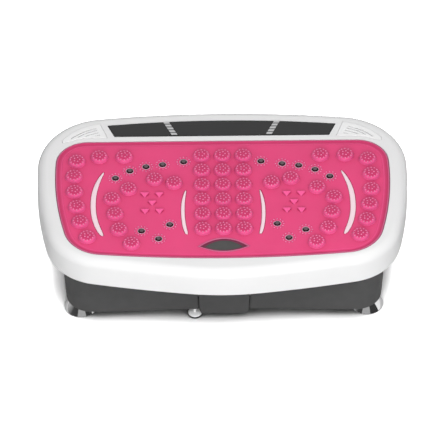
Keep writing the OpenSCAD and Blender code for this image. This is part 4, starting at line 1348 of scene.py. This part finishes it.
def seen_rays(tree):
    """One for a ray from the camera, and one for a ray from a mirror or glass, or else zero."""
    path = tree.add("LightPath").outputs
    mirrored_ray = tree.maths("MAXIMUM", path["Is Glossy Ray"], path["Is Transmission Ray"])
    return path["Is Camera Ray"], mirrored_ray


def make_world():
    world = bpy.data.worlds.new("studio")
    bpy.context.scene.world = world
    tree = bare_tree(world)
    fill = tree.add("Background", Color=(1.0, 1.0, 1.0), Strength=AMBIENT)
    white = tree.add("Background", Color=(1.0, 1.0, 1.0), Strength=1.0)
    seen = tree.maths("MAXIMUM", *seen_rays(tree))
    tree.show("World", tree.mixed(seen, fill, white))


def floor_shown(tree):
    """Brightness of the floor as it is seen, shaded where something stands close to it."""
    near = tree.add("AmbientOcclusion", Distance=FLOOR_REACH * MM)
    near.samples = FLOOR_SAMPLES
    share = near.outputs["AO"]
    return tree.maths("ADD", tree.ranged(share, *FLOOR_NEAR), tree.ranged(share, *FLOOR_OPEN))


def floor_material():
    """Pale floor that reads white where nothing shades it, and can be looked through from below."""
    material = bpy.data.materials.new("floor")
    tree = bare_tree(material)
    camera_ray, mirrored_ray = seen_rays(tree)
    pale = tree.blend(mirrored_ray, (FLOOR_COLOUR,) * 3, (FLOOR_IN_MIRRORS,) * 3)
    matte = tree.add("BsdfDiffuse", Color=tree.blend(camera_ray, pale, floor_shown(tree)))
    below = tree.add("NewGeometry").outputs["Backfacing"]
    tree.show("Material", tree.mixed(below, matte, tree.add("BsdfTransparent")))
    return material


def flat_quad(name, corners, material):
    """Stage quad through four corners in metres."""
    mesh = bpy.data.meshes.new(name)
    mesh.from_pydata(corners, [], [[0, 1, 2, 3]])
    mesh.materials.append(material)
    obj = linked(name, mesh)
    return obj


def card_material():
    """Even glow whose level is kept at each corner of a card."""
    material = bpy.data.materials.new("card")
    tree = bare_tree(material)
    level = tree.add("Attribute")
    level.attribute_name = "level"
    tree.show("Material", tree.add("Emission", Strength=level.outputs["Fac"]))
    return material


def only_in_mirrors(obj):
    for kind in ("camera", "diffuse", "transmission", "shadow", "volume_scatter"):
        setattr(obj, "visible_" + kind, False)


def make_card(name, material, distance, start, end, start_level, end_level):
    low, high = CARD_HEIGHT
    corners = []
    for degrees, height in ((start, low), (end, low), (end, high), (start, high)):
        a = math.radians(degrees)
        corners.append((distance * math.sin(a), -distance * math.cos(a), distance * height))
    card = flat_quad(name, corners, material)
    levels = card.data.attributes.new("level", "FLOAT", "POINT")
    levels.data.foreach_set("value", [start_level, end_level, end_level, start_level])
    only_in_mirrors(card)


def make_stage():
    floor = rectangle((-FLOOR_HALF, -FLOOR_HALF), (FLOOR_HALF, FLOOR_HALF))
    flat_quad("floor", at_z(floor, FLOOR_Z), floor_material())
    glow = card_material()
    for name, card in CARDS.items():
        make_card(name, glow, *card)


def aimed(name, data, location, direction):
    """New object at a place in metres that looks in a direction."""
    obj = linked(name, data)
    obj.location = location
    obj.rotation_mode = "QUATERNION"
    obj.rotation_quaternion = direction.to_track_quat("-Z", "Y")
    return obj


def add_lamp(name, elevation, distance, shift, size, power):
    """Area lamp in front of the part, aimed at the deck's middle."""
    data = bpy.data.lights.new(name, "AREA")
    data.shape = "RECTANGLE"
    data.size, data.size_y = size
    data.energy = power
    a = math.radians(elevation)
    target = Vector(LAMP_TARGET)
    location = target + Vector((shift, -distance * math.cos(a), distance * math.sin(a)))
    lamp = aimed(name, data, location, target - location)
    lamp.visible_camera = False
    lamp.visible_glossy = False


def make_lamps():
    """A softbox a little above the camera's line of sight, and a wide low one in front."""
    add_lamp("softbox", **SOFTBOX)
    add_lamp("front_box", **FRONT_BOX)


def make_camera():
    data = bpy.data.cameras.new("photo_view")
    data.sensor_width = SENSOR_WIDTH
    data.lens = SENSOR_WIDTH * VIEW_DISTANCE / VIEW_WIDTH
    data.clip_start, data.clip_end = VIEW_CLIP
    a = math.radians(VIEW_AZIMUTH)
    e = math.radians(VIEW_ELEVATION)
    back = Vector((math.sin(a) * math.cos(e), -math.cos(a) * math.cos(e), math.sin(e)))
    location = (Vector(VIEW_TARGET) + back * VIEW_DISTANCE) * MM
    bpy.context.scene.camera = aimed("photo_view", data, location, -back)


deck = outline(**DECK_SHAPE)
mat_edge = outline(**MAT_SHAPE)
finishes = make_finishes()

make_camera()
make_casing()
make_lands()
make_mat()
make_magnets()
make_window()
make_panel()
make_divider("divider_l", -1, "divider_left")
make_divider("divider_r", 1, "divider_right")
make_grille("corner_grille_r", "grille_right", list)
make_grille("corner_grille_l", "grille_left", mirrored)
make_base()
make_cover()
make_feet()
make_front_foot()
make_socket(INLET_X, INLET_PIECES, INLET_MOUTH, "inlet_socket")
make_socket(SWITCH_X, SWITCH_PIECES, SWITCH_MOUTH, "switch_bezel")
make_rocker()
dress_cad_nodes()

make_world()
make_stage()
make_lamps()
bpy.context.scene.view_settings.view_transform = "Standard"
